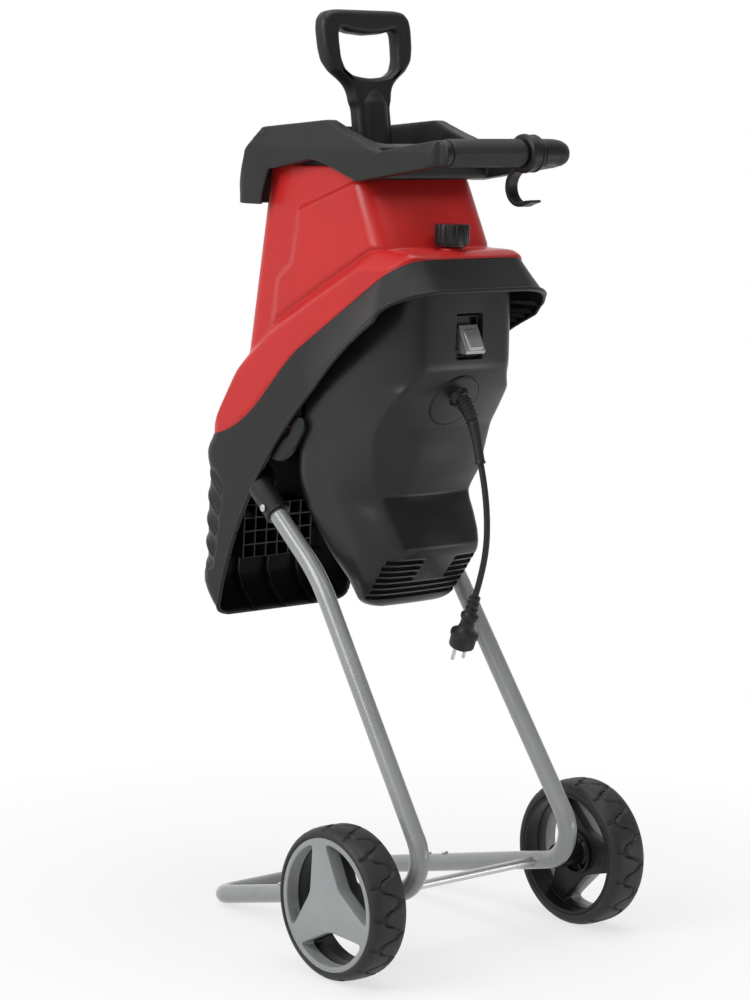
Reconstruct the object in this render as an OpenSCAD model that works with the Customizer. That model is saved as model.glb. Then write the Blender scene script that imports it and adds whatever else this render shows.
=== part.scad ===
// Garden shredder with hinged hopper, feed plunger and wheeled tube stand.
// X runs side to side, Y points to the discharge side, Z is up, ground at zero.

/* [View] */
// Which piece to draw
// Roundness of curved faces
smooth = 64; // [48:8:96]

/* [Housing] */
// Width of the lower hood over its side walls
hood_w = 236; // [230:2:244]
// Wall of the plastic mouldings
wall = 4; // [3.5:0.5:5]
// Slope of the cutting deck and of the split line
deck_tilt = 32; // [31.5:0.25:32.5]
// Distance from the side walls of the hood to those of the motor cover
cover_inset = 14; // [12:1:17]

/* [Hopper] */
// Width of the hopper tower at its top
tower_top_w = 184; // [180:1:188]
// Width of the hopper tower at its foot
tower_foot_w = 202; // [196:1:206]
// Width of the feed throat
throat_w = 96; // [90:1:102]
// Depth of the feed throat
throat_d = 64; // [60:1:68]
// Width of the collar on top of the hopper
collar_w = 228; // [222:1:234]

/* [Handles] */
// Radius of the rear handle core
bar_r = 16; // [15:0.5:17]
// Radius of the soft grip on the handle
grip_r = 19; // [18.5:0.25:20]
// Width of the plunger handle between its side arms
dee_w = 129; // [120:1:136]
// Radius of the plunger handle section
dee_r = 13; // [11:0.5:14]
// Width of the plunger stem
stem_w = 57; // [52:1:62]
// Thickness of the plunger stem
stem_d = 24; // [20:1:28]
// Diameter of the lock knob
knob_d = 46; // [40:1:50]

/* [Stand] */
// Outer diameter of the stand tubes
tube_d = 25; // [22:0.5:26]
// Wall of the stand tubes
tube_wall = 2; // [1.5:0.25:3]
// Distance between the middles of the two feet
foot_span = 266; // [262:1:272]
// Bend radius at the axle
bend_r = 48; // [44:1:52]
// Diameter of the axle rod
axle_d = 12; // [10:0.5:13]

/* [Wheels] */
// Wheel diameter over the tread
wheel_d = 200; // [196:1:206]
// Width of the tyre
tyre_w = 58; // [52:1:60]
// Diameter of the grey wheel face
face_d = 174; // [168:1:178]

/* [Drive] */
// Diameter of the cutting disc
disc_d = 190; // [180:1:196]
// Thickness of the cutting disc
disc_t = 7; // [6:0.5:8]
// Radial clearance of a running shaft
run_gap = 0.05; // [0.02:0.01:0.09]

/* [Hidden] */
$fn = smooth;

black = "#2a2b2d";
satin = "#222325";
red = "#b8322f";
silver = "#a7a9aa";
steel = "#c4c6c8";
rubber = "#303133";

// hood outline seen from the side, as pairs of Y and Z
rear_y = -152;
front_y = 272;
rear_r = 42;
front_r = 30;
low_z = 380;
high_z = 1000;
hood_hw = hood_w / 2;
split_z = 821;
function split_at(y) = split_z - tan(deck_tilt) * y;
// polygon moved inwards by d, its points running counter-clockwise
function side_of(a, b) = [a[1] - b[1], b[0] - a[0]] / norm(b - a);
function inset(p, d) = let (n = len(p)) [for (i = [0:n - 1])
    let (u = side_of(p[(i + n - 1) % n], p[i]), v = side_of(p[i], p[(i + 1) % n])) p[i] + d * (u + v) / (1 + u * v)];
function bez(a, b, c, d, n) = [for (i = [0:n]) let (t = i / n, s = 1 - t)
    a * s * s * s + b * 3 * s * s * t + c * 3 * s * t * t + d * t * t * t];
split_line = [[rear_y, split_at(rear_y)], [132, split_at(132)], [167, 696], [188, 659], [257, 655]];
front_line = [[264, 628], [front_y, 458], [262, 426], [243, 405], [214, 393], [212, 397], [226, 405]];
rim_line = bez([222, 418], [152, 622], [20, 748], [-128, 838], 14);
skirt_z = 884;
flare = 26;
rear_flare = 9;
skirt_h = 46;
skirt_lift = 6;
skirt_in = 4;
skirt_end = rear_y - 45;
hood_side = concat(split_line, front_line, rim_line, [[-146, 862], [-164, 872], [skirt_end, skirt_z],
    [skirt_end, split_at(rear_y)]]);
hood_cavity = [[skirt_end, high_z], [257 - wall, high_z], [257 - wall, 654], [264 - wall, 628],
    [front_y - wall, 458], [262 - wall, 428], [241, 405 + wall], [212, 397], [212, low_z], [skirt_end, low_z]];

// hopper shoulder and tower
shelf_z = 926;
tower_z = 1030;
deck_t = 4;
shoulder_top = [[rear_y, shelf_z - 7], [-138, shelf_z], [-70, shelf_z], [119, 825], [186, 772], [234, 700], [253, 655]];
bevel = 24;
hinge_y = 265;
hinge_z = 660;
hinge_r = 3;
knuckle_r = 7;
lock_y = -118;
lug_z = 898;
lug_t = 8;
lug_hw = 16;
screw_r = 4;

// feed direction
feed_tilt = 9;
feed_y = 40;
pad_t = 6;
stem_drop = 180;
fit = 1.5;
dee_z = 194;
dee_bend = 22;
ball_step = 0.3;
neck_z = 96;
knob_z = shelf_z + 4.4;
flange_x = 77;

// collar side outline
collar_front = 206;
collar_side = [[collar_front, 974], [178, 1049], [149, 1079], [18, 1091], [-16, 1078], [-94, 1052], [-150, 1062],
    [-206, 1070], [-214, 1056], [-212, 1038], [-192, 1034], [-55, 1013], [11, 1034], [38, 1039], [126, 1023], [139, 990],
    [141, 975]];
bar_y = -207;
bar_z = 1053;
arm_x = 95;
hook_x = 48;
hook_w = 18;
hook_r = 20;
hook_t = 5.5;

// motor cover outlines
cover_hw = hood_hw - cover_inset;
cover_w = 2 * cover_hw;
leg_gap = 3;
cover_t = 4;
cover_rear = -157;
cover_side = [[cover_rear, 900], [cover_rear, 768], [-118, 704], [-84, 684], [-62, 640], [-50, 590],
    [-20, 530], [20, 505], [72, 512], [72, 900]];
foot_side = [[-40, 716], [-118, 704], [-124, 690], [-122, 650], [-109, 626], [-84, 606], [-95, 582],
    [-115, 548], [-115, 530], [-104, 506], [-82, 474], [-52, 453], [10, 449], [32, 464], [60, 560], [60, 716]];
foot_plan = [[-62, -130], [62, -130], [62, -118], [88, -80], [98, -42], [98, 6], [78, 62], [-78, 62], [-98, 6],
    [-98, -42], [-88, -80], [-62, -118]];
slot_h = 4.5;
slot_step = 8.5;
gland_y = -137.5;
gland_z = 736;
gland_tilt = atan2(39, 64);
gland_r = 34;
gland_t = 2.5;
switch_z = 810;
switch_w = 34;
switch_h = 54;
switch_t = 20;

// drive, measured in the tilted deck frame
plate_top = -18;
plate_t = 4;
plate_low = plate_top - plate_t;
plate_front = 62;
rotor_y = -40;
motor_y = 50;
disc_low = -15;
disc_top = disc_low + disc_t;
shaft_r = 7.5;
block_t = 26;
block_r = 26;
bearing_r = 17.5;
bearing_t = 11;
gear_top = -52;
gear_t = 13;
pinion_n = 12;
gear_n = 60;
pinion_r = 15;
gear_r = 75;
bracket_top = -72;
bracket_t = 6;
stator_len = 76;
stator_r = 42;
stator_in = 28;
core_r = 27;
arm_r = 5;
stator_low = bracket_top - bracket_t - stator_len;
end_low = stator_low - 34;
blade_t = 4;
blade_r = 62;
pillar_r = 6;
rear_pillar_x = cover_hw - 24;
front_pillar_x = cover_hw - 16;
pillars = [[-rear_pillar_x, -95], [rear_pillar_x, -95], [-front_pillar_x, 15], [front_pillar_x, 15]];
rear_bracket_w = 2 * (rear_pillar_x + pillar_r);
front_bracket_w = 2 * (front_pillar_x + pillar_r);

// stand geometry in the plane of one leg, measured from the axle
axle_y = -172;
axle_z = wheel_d / 2;
foot_x = foot_span / 2;
tube_r = tube_d / 2;
splay = 2.1;
lap = 1;
bend_step = 0.1;
knee_dist = 90.2;
tube_in = tube_r - tube_wall;
pin_r = 2.5;
foot_run = 382;
foot_ang = -asin((axle_z - tube_r) / foot_run);
leg_ang = 54.7;
half = (leg_ang - foot_ang) / 2;
knee = -knee_dist * [cos(foot_ang), sin(foot_ang)];
mid_ang = (leg_ang + foot_ang) / 2;
bend_c = knee + bend_r / sin(half) * [cos(mid_ang), sin(mid_ang)];
bend_len = bend_r / tan(half);
leg_len = 413;
crook_r = 260;
crook_ang = 17;
crook_a = knee + leg_len * [cos(leg_ang), sin(leg_ang)];
crook_c = crook_a + crook_r * [sin(leg_ang), -cos(leg_ang)];
crook_b = crook_c + crook_r * [-sin(leg_ang - crook_ang), cos(leg_ang - crook_ang)];
top_ang = leg_ang - crook_ang;
crook_lead = crook_r * tan(crook_ang / 2);
top_len = 112;
socket_from = 70;
socket_to = 152;
socket_wall = 4;
foot_end = 210;
corner_r = 32;

part_gap = 0.5;
side_gap = 0.4;

// wheels
hub_in = foot_x + 32;
wheel_in = hub_in + 19;
hub_r = 17;
rim_r = 84;
wheel_out = wheel_in + tyre_w;
face_in = wheel_out - 8;
hub_out = wheel_out - 14;
axle_end = wheel_out - 9;
web_z = wheel_in + 20;
web_t = 5;
tread = 20;
bore_r = axle_d / 2 + run_gap;

// supply cord route and plug
cord_r = 4.2;
cord_sides = 10;
gland_out = [0, -cos(gland_tilt), -sin(gland_tilt)];
sleeve_a = [0, gland_y, gland_z] + 4 * gland_out;
sleeve_b = [0, gland_y, gland_z] + 22 * gland_out;
sleeve_c = [0, -171, 690];
cord_start = [0, -183, 652];
cord_dir = (cord_start - sleeve_c) / norm(cord_start - sleeve_c);
cord_low = [0, -198, 562];
plug_lean = 20;
plug_top = [0, -178, 476];
plug_dir = [0, sin(plug_lean), -cos(plug_lean)];
cord_pts = concat(bez(cord_start, cord_start + 30 * cord_dir, cord_low + [0, 0, 34], cord_low, 10),
    [for (p = bez(cord_low, cord_low - [0, 0, 30], plug_top - 30 * plug_dir, plug_top, 9)) if (p != cord_low) p]);

// an outline in Y and Z pulled along X, centred
module xpoly(w) {
    rotate([90, 0, 90])
        linear_extrude(w, center = true)
            children();
}

// children placed in the frame of the sloping deck
module deck() {
    translate([0, 0, split_z])
        rotate([-deck_tilt, 0, 0])
            children();
}

// children placed along the feed direction, zero at the hopper floor
module feed() {
    translate([0, feed_y, tower_z])
        rotate([-feed_tilt, 0, 0])
            children();
}

// plan of the hood, drawn smaller by i
module plan(i) {
    hw = hood_hw - i;
    y0 = rear_y + i;
    y1 = front_y - i;
    r0 = rear_r - i;
    r1 = front_r - i;
    translate([-hw, y0 + r0])
        square([2 * hw, y1 - r1 - y0 - r0]);
    translate([r0 - hw, y0])
        square([2 * (hw - r0), 2 * r0]);
    translate([r1 - hw, y1 - 2 * r1])
        square([2 * (hw - r1), 2 * r1]);
    for (s = [-1, 1]) {
        translate([s * (hw - r0), y0 + r0])
            circle(r0);
        translate([s * (hw - r1), y1 - r1])
            circle(r1);
    }
}

// flared skirt under the split line, drawn smaller by i
module skirt(i) {
    y0 = rear_y / cos(deck_tilt) + rear_r;
    deck()
        hull()
            for (s = [-1, 1]) {
                translate([s * (hood_hw - rear_r), y0 - 2, skirt_lift])
                    cylinder(h = 0.2, r = rear_r - i - skirt_in, $fn = 32);
                translate([s * (hood_hw - rear_r), y0 + flare - rear_flare, -skirt_h])
                    cylinder(h = 0.2, r = rear_r + flare - i, $fn = 32);
                translate([s * (hood_hw - i - 2) - 1, 60, -skirt_h])
                    cube([2, 2, skirt_h]);
            }
}

module plan_block(i) {
    translate([0, 0, low_z])
        linear_extrude(high_z - low_z)
            plan(i);
}

// rectangle with rounded corners between two Y values
module round_rect(w, y0, y1, r) {
    translate([-w / 2, y0 + r])
        square([w, y1 - y0 - 2 * r]);
    translate([r - w / 2, y0])
        square([w - 2 * r, y1 - y0]);
    for (x = [r - w / 2, w / 2 - r]) {
        for (y = [y0 + r, y1 - r]) {
            translate([x, y])
                circle(r);
        }
    }
}

// section of the stand tube, thicker by g on both faces
module tube_ring(g) {
    difference() {
        circle(tube_r + g);
        circle(tube_in - g);
    }
}

// one straight rod in the leg plane
module run(p, ang, from, to, r) {
    translate([p[0], p[1], 0])
        rotate([0, 0, ang])
            translate([from, 0, 0])
                rotate([0, 90, 0])
                    cylinder(h = to - from, r = r);
}

// one straight length of tube in the leg plane
module straight(p, ang, from, to) {
    translate([p[0], p[1], 0])
        rotate([0, 0, ang])
            translate([from, 0, 0])
                rotate([0, 90, 0])
                    linear_extrude(to - from)
                        tube_ring(0);
}

// one bend of tube in the leg plane
module bend(c, big, a0, sweep) {
    translate([c[0], c[1], 0])
        rotate([0, 0, a0])
            rotate_extrude(angle = sweep)
                translate([big, 0])
                    tube_ring(bend_step);
}

// one leg from its foot joint over the axle bend and the crook to its top
module leg_path() {
    straight([0, 0], foot_ang, bend_len - knee_dist - lap, foot_end);
    bend(bend_c, bend_r, leg_ang + 90, 180 - 2 * half);
    straight(knee, leg_ang, bend_len - lap, leg_len + lap);
    bend(crook_c, crook_r, top_ang + 90, crook_ang);
    straight(crook_b, top_ang, -lap, top_len);
}

// children moved from the leg plane to the left or right side, leaning inwards about the foot
module leg_side_of(s) {
    translate([s * foot_x, axle_y, axle_z])
        rotate([90, 0, 90])
            rotate(a = -s * splay, v = [cos(foot_ang), sin(foot_ang), 0])
                children();
}

// children in the sloping plane of the two feet, Y running forwards from the axle
module feet_plane() {
    translate([0, axle_y, axle_z])
        rotate([foot_ang, 0, 0])
            children();
}

module axle_rod(len, r) {
    translate([0, axle_y, axle_z])
        rotate([0, 90, 0])
            cylinder(h = len, r = r, center = true);
}

// screw across one leg socket, from the outside inwards
module socket_screw(s, r, from, to) {
    leg_side_of(s)
        translate([crook_b[0], crook_b[1], 0])
            rotate([0, 0, top_ang])
                translate([socket_from + 22, 0, s > 0 ? to : -from])
                    cylinder(h = from - to, r = r);
}

// screws that hold the foot joints, standing on the feet
module joint_screws(r, from, to) {
    feet_plane()
        for (s = [-1, 1]) {
            for (d = [-18, 18]) {
                translate([s * foot_x, foot_end + d, from])
                    cylinder(h = to - from, r = r);
            }
        }
}

module leg(s) {
    difference() {
        leg_side_of(s)
            leg_path();
        axle_rod(2 * foot_x + 80, axle_d / 2);
        socket_screw(s, pin_r, tube_r + socket_wall, 0);
        joint_screws(pin_r, 0, tube_r + 1);
    }
}

module leg_left() {
    color(silver)
        leg(-1);
}

module leg_right() {
    color(silver)
        leg(1);
}

module boss_line(s, r, from, to) {
    leg_side_of(s)
        run(crook_b, top_ang, from, to, r);
}

// space between the hood walls
module hood_room() {
    plan_block(wall);
    skirt(wall);
}

module hood() {
    color(black)
        difference() {
            union() {
                difference() {
                    intersection() {
                        xpoly(hood_w + 2 * flare)
                            polygon(hood_side);
                        union() {
                            plan_block(0);
                            skirt(0);
                        }
                    }
                    intersection() {
                        xpoly(hood_w + 2 * flare)
                            polygon(hood_cavity);
                        hood_room();
                    }
                }
                for (s = [-1, 1]) {
                    boss_line(s, tube_r + socket_wall, socket_from, socket_to);
                    translate([s > 0 ? hood_hw - 18 : -hood_hw, 128, 596])
                        cube([18, 34, 34]);
                }
                // lug for the lock screw, standing on the rear wall
                translate([-lug_hw, rear_y + wall, lug_z])
                    cube([2 * lug_hw, lock_y + 12 - rear_y - wall, lug_t]);
                intersection() {
                    skirt(1);
                    translate([-lug_hw, skirt_end, lug_z])
                        cube([2 * lug_hw, rear_y + wall + 6 - skirt_end, lug_t]);
                }
                // outer hinge eyes
                for (x = [-64, 64]) {
                    translate([x, hinge_y, hinge_z])
                        rotate([0, 90, 0])
                            cylinder(h = 14, r = knuckle_r, center = true);
                    translate([x - 7, 253, hinge_z - 20])
                        cube([14, hinge_y + knuckle_r - 253, 20]);
                }
            }
            for (s = [-1, 1]) {
                boss_line(s, tube_r, -20, top_len);
                socket_screw(s, pin_r, tube_r + socket_wall + 4, 0);
                vent_marks(s);
            }
            translate([-screw_r - 0.4, lock_y, lug_z - 1])
                cube([2 * screw_r + 0.8, 40, lug_t + 2]);
            translate([0, lock_y, lug_z - 1])
                cylinder(h = lug_t + 2, r = screw_r + 0.4);
            hinge_bore(hinge_r);
            // room for the middle hinge eye of the hopper
            translate([-30, hinge_y - 12, hinge_z - knuckle_r - 1])
                cube([60, 40, 2 * knuckle_r + 2]);
        }
}

module hinge_bore(r) {
    translate([0, hinge_y, hinge_z])
        rotate([0, 90, 0])
            cylinder(h = 2 * hood_hw, r = r, center = true);
}

// slanting shallow vent marks at the front of each side wall
module vent_marks(s) {
    for (i = [0:3]) {
        translate([s * hood_hw, 0, 0])
            xpoly(2 * 2.5)
                polygon([[244 + 3 * i, 590 - 32 * i], [259 + 2 * i, 576 - 32 * i], [260 + 2 * i, 560 - 32 * i],
                    [245 + 3 * i, 574 - 32 * i]]);
    }
}

// inner face of the front wall at height z
function chute_face(z) = 264 - wall + (front_y - 264) * (628 - z) / (628 - 458);

module chute_lattice() {
    color(black)
        intersection() {
            xpoly(hood_w)
                polygon([[236, 552], [chute_face(552), 552], [chute_face(476), 476], [240, 476]]);
            union() {
                for (x = [-60:20:60]) {
                    translate([x - 1.25, 230, 470])
                        cube([2.5, 60, 90]);
                }
                for (z = [476:19:552]) {
                    translate([-61.25, 230, z - 1.25])
                        cube([122.5, 60, 2.5]);
                }
            }
        }
}

module bag_hooks() {
    color("#3a3b3d")
        for (s = [-1, 1]) {
            translate([s * (hood_hw - wall - 3), 0, 0])
                xpoly(6)
                    polygon([[70, 672], [92, 684], [126, 662], [139, 668], [150, 640], [140, 634], [118, 646], [98, 668],
                        [78, 659]]);
        }
}

module mid_plate() {
    color(steel)
        difference() {
            intersection() {
                deck()
                    translate([-hood_w, -260, plate_low])
                        cube([2 * hood_w, 260 + plate_front, plate_t]);
                hood_room();
            }
            deck() {
                translate([0, rotor_y, plate_low - 1])
                    cylinder(h = plate_t + 2, r = shaft_r + 6);
                plate_screws(3);
            }
            // notch round the lug of the lock screw
            translate([-lug_hw - part_gap, skirt_end, lug_z - part_gap])
                cube([2 * (lug_hw + part_gap), 60, lug_t + 2 * part_gap]);
        }
}

// screws that hold the cover and bracket pillars to the plate
module plate_screws(r) {
    for (p = pillars) {
        translate([p[0], p[1], plate_low - 12])
            cylinder(h = plate_t + 12, r = r);
    }
}

// motor cover without its details, drawn smaller by i and clear of the legs
module cover_form(i) {
    difference() {
        union() {
            intersection() {
                xpoly(cover_w - 2 * i)
                    polygon(inset(cover_side, i));
                translate([0, 0, low_z])
                    linear_extrude(high_z - low_z)
                        round_rect(cover_w - 2 * i, cover_rear + i, 200, 60 - i);
            }
            intersection() {
                xpoly(cover_w)
                    polygon(inset(foot_side, i));
                translate([0, 0, low_z])
                    linear_extrude(high_z - low_z)
                        polygon(inset(foot_plan, i));
            }
        }
        for (s = [-1, 1]) {
            boss_line(s, tube_r + leg_gap + i, -crook_lead, socket_to);
            leg_side_of(s)
                run(knee, leg_ang, leg_len / 2, leg_len + crook_lead, tube_r + leg_gap + i);
        }
    }
}

// children on the slanting face that carries the gland, Z pointing out of it
module on_gland() {
    translate([0, gland_y, gland_z])
        rotate([90 + gland_tilt, 0, 0])
            children();
}

module motor_cover() {
    color(satin)
        difference() {
            union() {
                difference() {
                    cover_form(0);
                    cover_form(cover_t);
                }
                // seat behind the gland plate
                intersection() {
                    on_gland()
                        translate([0, 0, -gland_t - 4])
                            cylinder(h = gland_t + 4, r = gland_r + 3);
                    cover_form(0);
                }
            }
            deck()
                translate([-200, -400, plate_low])
                    cube([400, 800, 300]);
            on_gland() {
                translate([0, 0, -gland_t])
                    cylinder(h = 20, r = gland_r);
                translate([0, 0, -20])
                    cylinder(h = 40, r = 9);
            }
            translate([-switch_w / 2, cover_rear - 1, switch_z - switch_h / 2])
                cube([switch_w, 30, switch_h]);
            for (i = [0:2]) {
                translate([-100, -140, 464 + slot_step * i])
                    cube([200, 140 - 74 + 2 * i, slot_h]);
            }
            for (i = [3:6]) {
                for (s = [-1, 1]) {
                    translate([s > 0 ? 26 : -100, -140, 464 + slot_step * i])
                        cube([74, 140 - 80, slot_h]);
                }
            }
        }
}

module bearing_block() {
    color(silver)
        deck()
            translate([0, rotor_y, plate_low - block_t])
                difference() {
                    cylinder(h = block_t, r = block_r);
                    translate([0, 0, -1])
                        cylinder(h = block_t + 2, r = shaft_r + 4);
                    translate([0, 0, block_t - bearing_t])
                        cylinder(h = bearing_t + 1, r = bearing_r);
                }
}

module rotor_bearing() {
    color(steel)
        deck()
            translate([0, rotor_y, plate_low - bearing_t])
                difference() {
                    cylinder(h = bearing_t, r = bearing_r);
                    translate([0, 0, -1])
                        cylinder(h = bearing_t + 2, r = shaft_r + run_gap);
                }
}

module gear_bracket() {
    color(silver)
        deck()
            difference() {
                union() {
                    translate([-rear_bracket_w / 2, -101, bracket_top - bracket_t])
                        cube([rear_bracket_w, 121, bracket_t]);
                    translate([-front_bracket_w / 2, 5, bracket_top - bracket_t])
                        cube([front_bracket_w, 87, bracket_t]);
                    for (p = pillars) {
                        translate([p[0], p[1], bracket_top - bracket_t])
                            cylinder(h = plate_low - bracket_top + bracket_t, r = pillar_r);
                    }
                }
                translate([0, motor_y, bracket_top - bracket_t - 1])
                    cylinder(h = bracket_t + 2, r = arm_r + run_gap);
                translate([0, rotor_y, bracket_top - bracket_t - 1])
                    cylinder(h = bracket_t + 2, r = shaft_r + run_gap);
                plate_screws(3);
            }
}

module stator() {
    color("#6d6f72")
        deck()
            translate([0, motor_y, stator_low])
                difference() {
                    cylinder(h = stator_len, r = stator_r);
                    translate([0, 0, -1])
                        cylinder(h = stator_len + 2, r = stator_in);
                }
}

module end_bracket() {
    color(silver)
        deck()
            translate([0, motor_y, end_low])
                difference() {
                    union() {
                        cylinder(h = 5, r = stator_r - 6);
                        for (a = [45, 225]) {
                            rotate([0, 0, a])
                                translate([31, -5, 0])
                                    cube([5, 10, stator_low - end_low]);
                        }
                    }
                    translate([0, 0, -1])
                        cylinder(h = 7, r = arm_r + run_gap);
                }
}

module brush_holders() {
    color("#8a6a3a")
        deck()
            translate([0, motor_y, stator_low - 14])
                for (a = [45, 225]) {
                    rotate([0, 0, a])
                        translate([17, -4, 0])
                            cube([14, 8, 8]);
                }
}

module interlock() {
    color("#1b1b1c")
        translate([lug_hw, rear_y + wall, lug_z - 4])
            difference() {
                cube([28, 14, lug_t + 4]);
                translate([14, -1, 7])
                    rotate([-90, 0, 0])
                        cylinder(h = 16, r = 1.6);
            }
}

module switch_frame() {
    color("#1c1d1e")
        translate([0, cover_rear, switch_z])
            difference() {
                translate([-switch_w / 2, 0, -switch_h / 2])
                    cube([switch_w, switch_t, switch_h]);
                translate([3 - switch_w / 2, -1, 3 - switch_h / 2])
                    cube([switch_w - 6, switch_t - 4, switch_h - 6]);
                translate([0, 4, -1])
                    rotate([0, 90, 0])
                        cylinder(h = switch_w + 2, r = 2 + run_gap, center = true);
            }
}

module rocker() {
    color(silver)
        translate([0, cover_rear + 4, switch_z - 1]) {
            xpoly(switch_w - 8)
                polygon([[-9, -19], [-12, -16], [-8.5, 0], [-7, 18], [-4, 19], [6, 14], [9, 0], [6, -14]]);
            rotate([0, 90, 0])
                cylinder(h = switch_w - 1, r = 2, center = true);
        }
}

module gland_plate() {
    color(satin)
        on_gland()
            translate([0, 0, -gland_t])
                difference() {
                    cylinder(h = gland_t, r = gland_r);
                    translate([0, 0, -1])
                        cylinder(h = gland_t + 2, r = 9);
                }
}

// round bar between two points of a plane of constant X
module rod_yz(a, b, ra, rb) {
    d = b - a;
    translate(a)
        rotate([atan2(-d[1], d[2]), 0, 0])
            cylinder(h = norm(d), r1 = ra, r2 = rb);
}

module strain_relief() {
    color(rubber) {
        on_gland() {
            translate([0, 0, -gland_t - 3])
                cylinder(h = gland_t + 3, r = 9);
            cylinder(h = 5, r = 13);
        }
        rod_yz(sleeve_a, sleeve_b, 10.5, 9);
        translate(sleeve_b)
            sphere(9 + ball_step);
        rod_yz(sleeve_b, sleeve_c, 9, 7.4);
        translate(sleeve_c)
            sphere(7.4 + ball_step);
        rod_yz(sleeve_c, cord_start, 7.4, 6);
    }
}

// direction of the cord at route point i
function cord_tan(i) = i == 0 ? cord_dir : i == len(cord_pts) - 1 ? plug_dir :
    (cord_pts[i + 1] - cord_pts[i - 1]) / norm(cord_pts[i + 1] - cord_pts[i - 1]);
function cord_ring(i) = let (t = cord_tan(i)) [for (k = [0:cord_sides - 1]) let (a = 360 * k / cord_sides)
    cord_pts[i] + cord_r * (cos(a) * [1, 0, 0] + sin(a) * [0, -t[2], t[1]])];

module cord() {
    rings = len(cord_pts);
    color(rubber)
        polyhedron(
            points = [for (i = [0:rings - 1]) for (p = cord_ring(i)) p],
            faces = concat(
                [[for (k = [0:cord_sides - 1]) k]],
                [for (i = [0:rings - 2]) for (k = [0:cord_sides - 1]) let (n = (k + 1) % cord_sides)
                    [i * cord_sides + k, (i + 1) * cord_sides + k, (i + 1) * cord_sides + n, i * cord_sides + n]],
                [[for (k = [cord_sides - 1:-1:0]) (rings - 1) * cord_sides + k]]));
}

// children on the plug axis, Z running from the cord to the pins
module on_plug() {
    translate(plug_top)
        rotate([180 + plug_lean, 0, 0])
            children();
}

module plug_body() {
    color(rubber)
        on_plug()
            difference() {
                rotate_extrude()
                    polygon([[0, 0], [6.5, 0], [7.5, 12], [8.5, 13], [9, 24], [13, 30], [16, 40], [17, 56], [19, 60],
                        [19, 70], [17.5, 74], [0, 74]]);
                for (x = [-9.5, 9.5]) {
                    translate([x, 0, 64])
                        cylinder(h = 20, r = 2.4);
                }
            }
}

module plug_pins() {
    color(steel)
        on_plug()
            for (x = [-9.5, 9.5]) {
                translate([x, 0, 64])
                    cylinder(h = 27, r = 2.4);
                translate([x, 0, 91])
                    sphere(2.4);
            }
}

module cover_screws() {
    color(steel)
        deck() {
            plate_screws(3);
            for (p = pillars) {
                translate([p[0], p[1], plate_top])
                    cylinder(h = 2, r = 4.5);
            }
        }
}

module foot_bar() {
    color(silver)
        difference() {
            feet_plane()
                bar_path(tube_r);
            feet_plane()
                bar_path(tube_in);
            joint_screws(pin_r, 0, tube_r + 1);
        }
}

// closed front of the stand, in the plane of the feet
module bar_path(r) {
    for (s = [-1, 1]) {
        translate([s * foot_x, foot_end, 0])
            rotate([-90, 0, 0])
                cylinder(h = foot_run - corner_r - foot_end, r = r);
        translate([s * (foot_x - corner_r), foot_run - corner_r, 0])
            rotate([0, 0, s > 0 ? 0 : 90])
                rotate_extrude(angle = 90)
                    translate([corner_r, 0])
                        circle(r);
    }
    translate([corner_r - foot_x, foot_run, 0])
        rotate([0, 90, 0])
            cylinder(h = 2 * (foot_x - corner_r), r = r);
}

module joint_sleeves() {
    color(steel)
        difference() {
            feet_plane()
                for (s = [-1, 1]) {
                    translate([s * foot_x, foot_end - 32, 0])
                        rotate([-90, 0, 0])
                            cylinder(h = 64, r = tube_in);
                }
            joint_screws(pin_r, 0, tube_r + 1);
        }
}

module axle() {
    color(steel)
        axle_rod(2 * axle_end, axle_d / 2);
}

module axle_spacers() {
    color(black)
        difference() {
            for (s = [-1, 1]) {
                translate([s > 0 ? foot_x : -hub_in + side_gap, axle_y, axle_z])
                    rotate([0, 90, 0])
                        cylinder(h = hub_in - side_gap - foot_x, r = axle_d / 2 + 3);
            }
            axle_rod(2 * axle_end + 2, axle_d / 2);
            feet_plane()
                for (s = [-1, 1]) {
                    translate([s * foot_x, -15, 0])
                        rotate([-90, 0, 0])
                            cylinder(h = 30, r = tube_r);
                }
        }
}

module axle_clips() {
    color(steel)
        difference() {
            for (s = [-1, 1]) {
                translate([s > 0 ? hub_out + side_gap : -hub_out - side_gap - 3, axle_y, axle_z])
                    rotate([0, 90, 0])
                        cylinder(h = 3, r = axle_d / 2 + 5);
            }
            axle_rod(2 * axle_end + 2, axle_d / 2);
        }
}

module frame_screws() {
    color(steel) {
        for (s = [-1, 1]) {
            socket_screw(s, pin_r, tube_r + socket_wall, 4);
            socket_screw(s, 5, tube_r + socket_wall + 3, tube_r + socket_wall);
        }
        joint_screws(pin_r, 3, tube_r);
        joint_screws(4.5, tube_r, tube_r + 2.5);
    }
}

module hinge_pin() {
    color(steel)
        translate([-72, hinge_y, hinge_z])
            rotate([0, 90, 0])
                cylinder(h = 144, r = hinge_r);
}

// tapering hopper tower, drawn smaller by i
module tower(i) {
    hull() {
        translate([0, 0, tower_z - 0.1])
            linear_extrude(0.1)
                round_rect(tower_top_w - 2 * i, -45 + i, 154 - i, 17 - i, $fn = 32);
        translate([0, 0, 700])
            linear_extrude(0.1)
                round_rect(tower_foot_w - 2 * i, -215 + i, 210 - i, 30 - i, $fn = 32);
    }
}

// shoulder of the hopper over the hood, drawn smaller by i
module shoulder(i) {
    top = [for (p = shoulder_top) p - [i * 0.7, i]];
    intersection() {
        hull() {
            xpoly(hood_w - 2 * i)
                polygon(concat([for (p = top) p - [0, bevel]], [[top[6][0], 600], [rear_y, 600]]));
            xpoly(hood_w - 2 * bevel - 2 * i)
                polygon(concat(top, [[top[6][0], 600], [rear_y, 600]]));
        }
        plan_block(i);
    }
}

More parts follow.
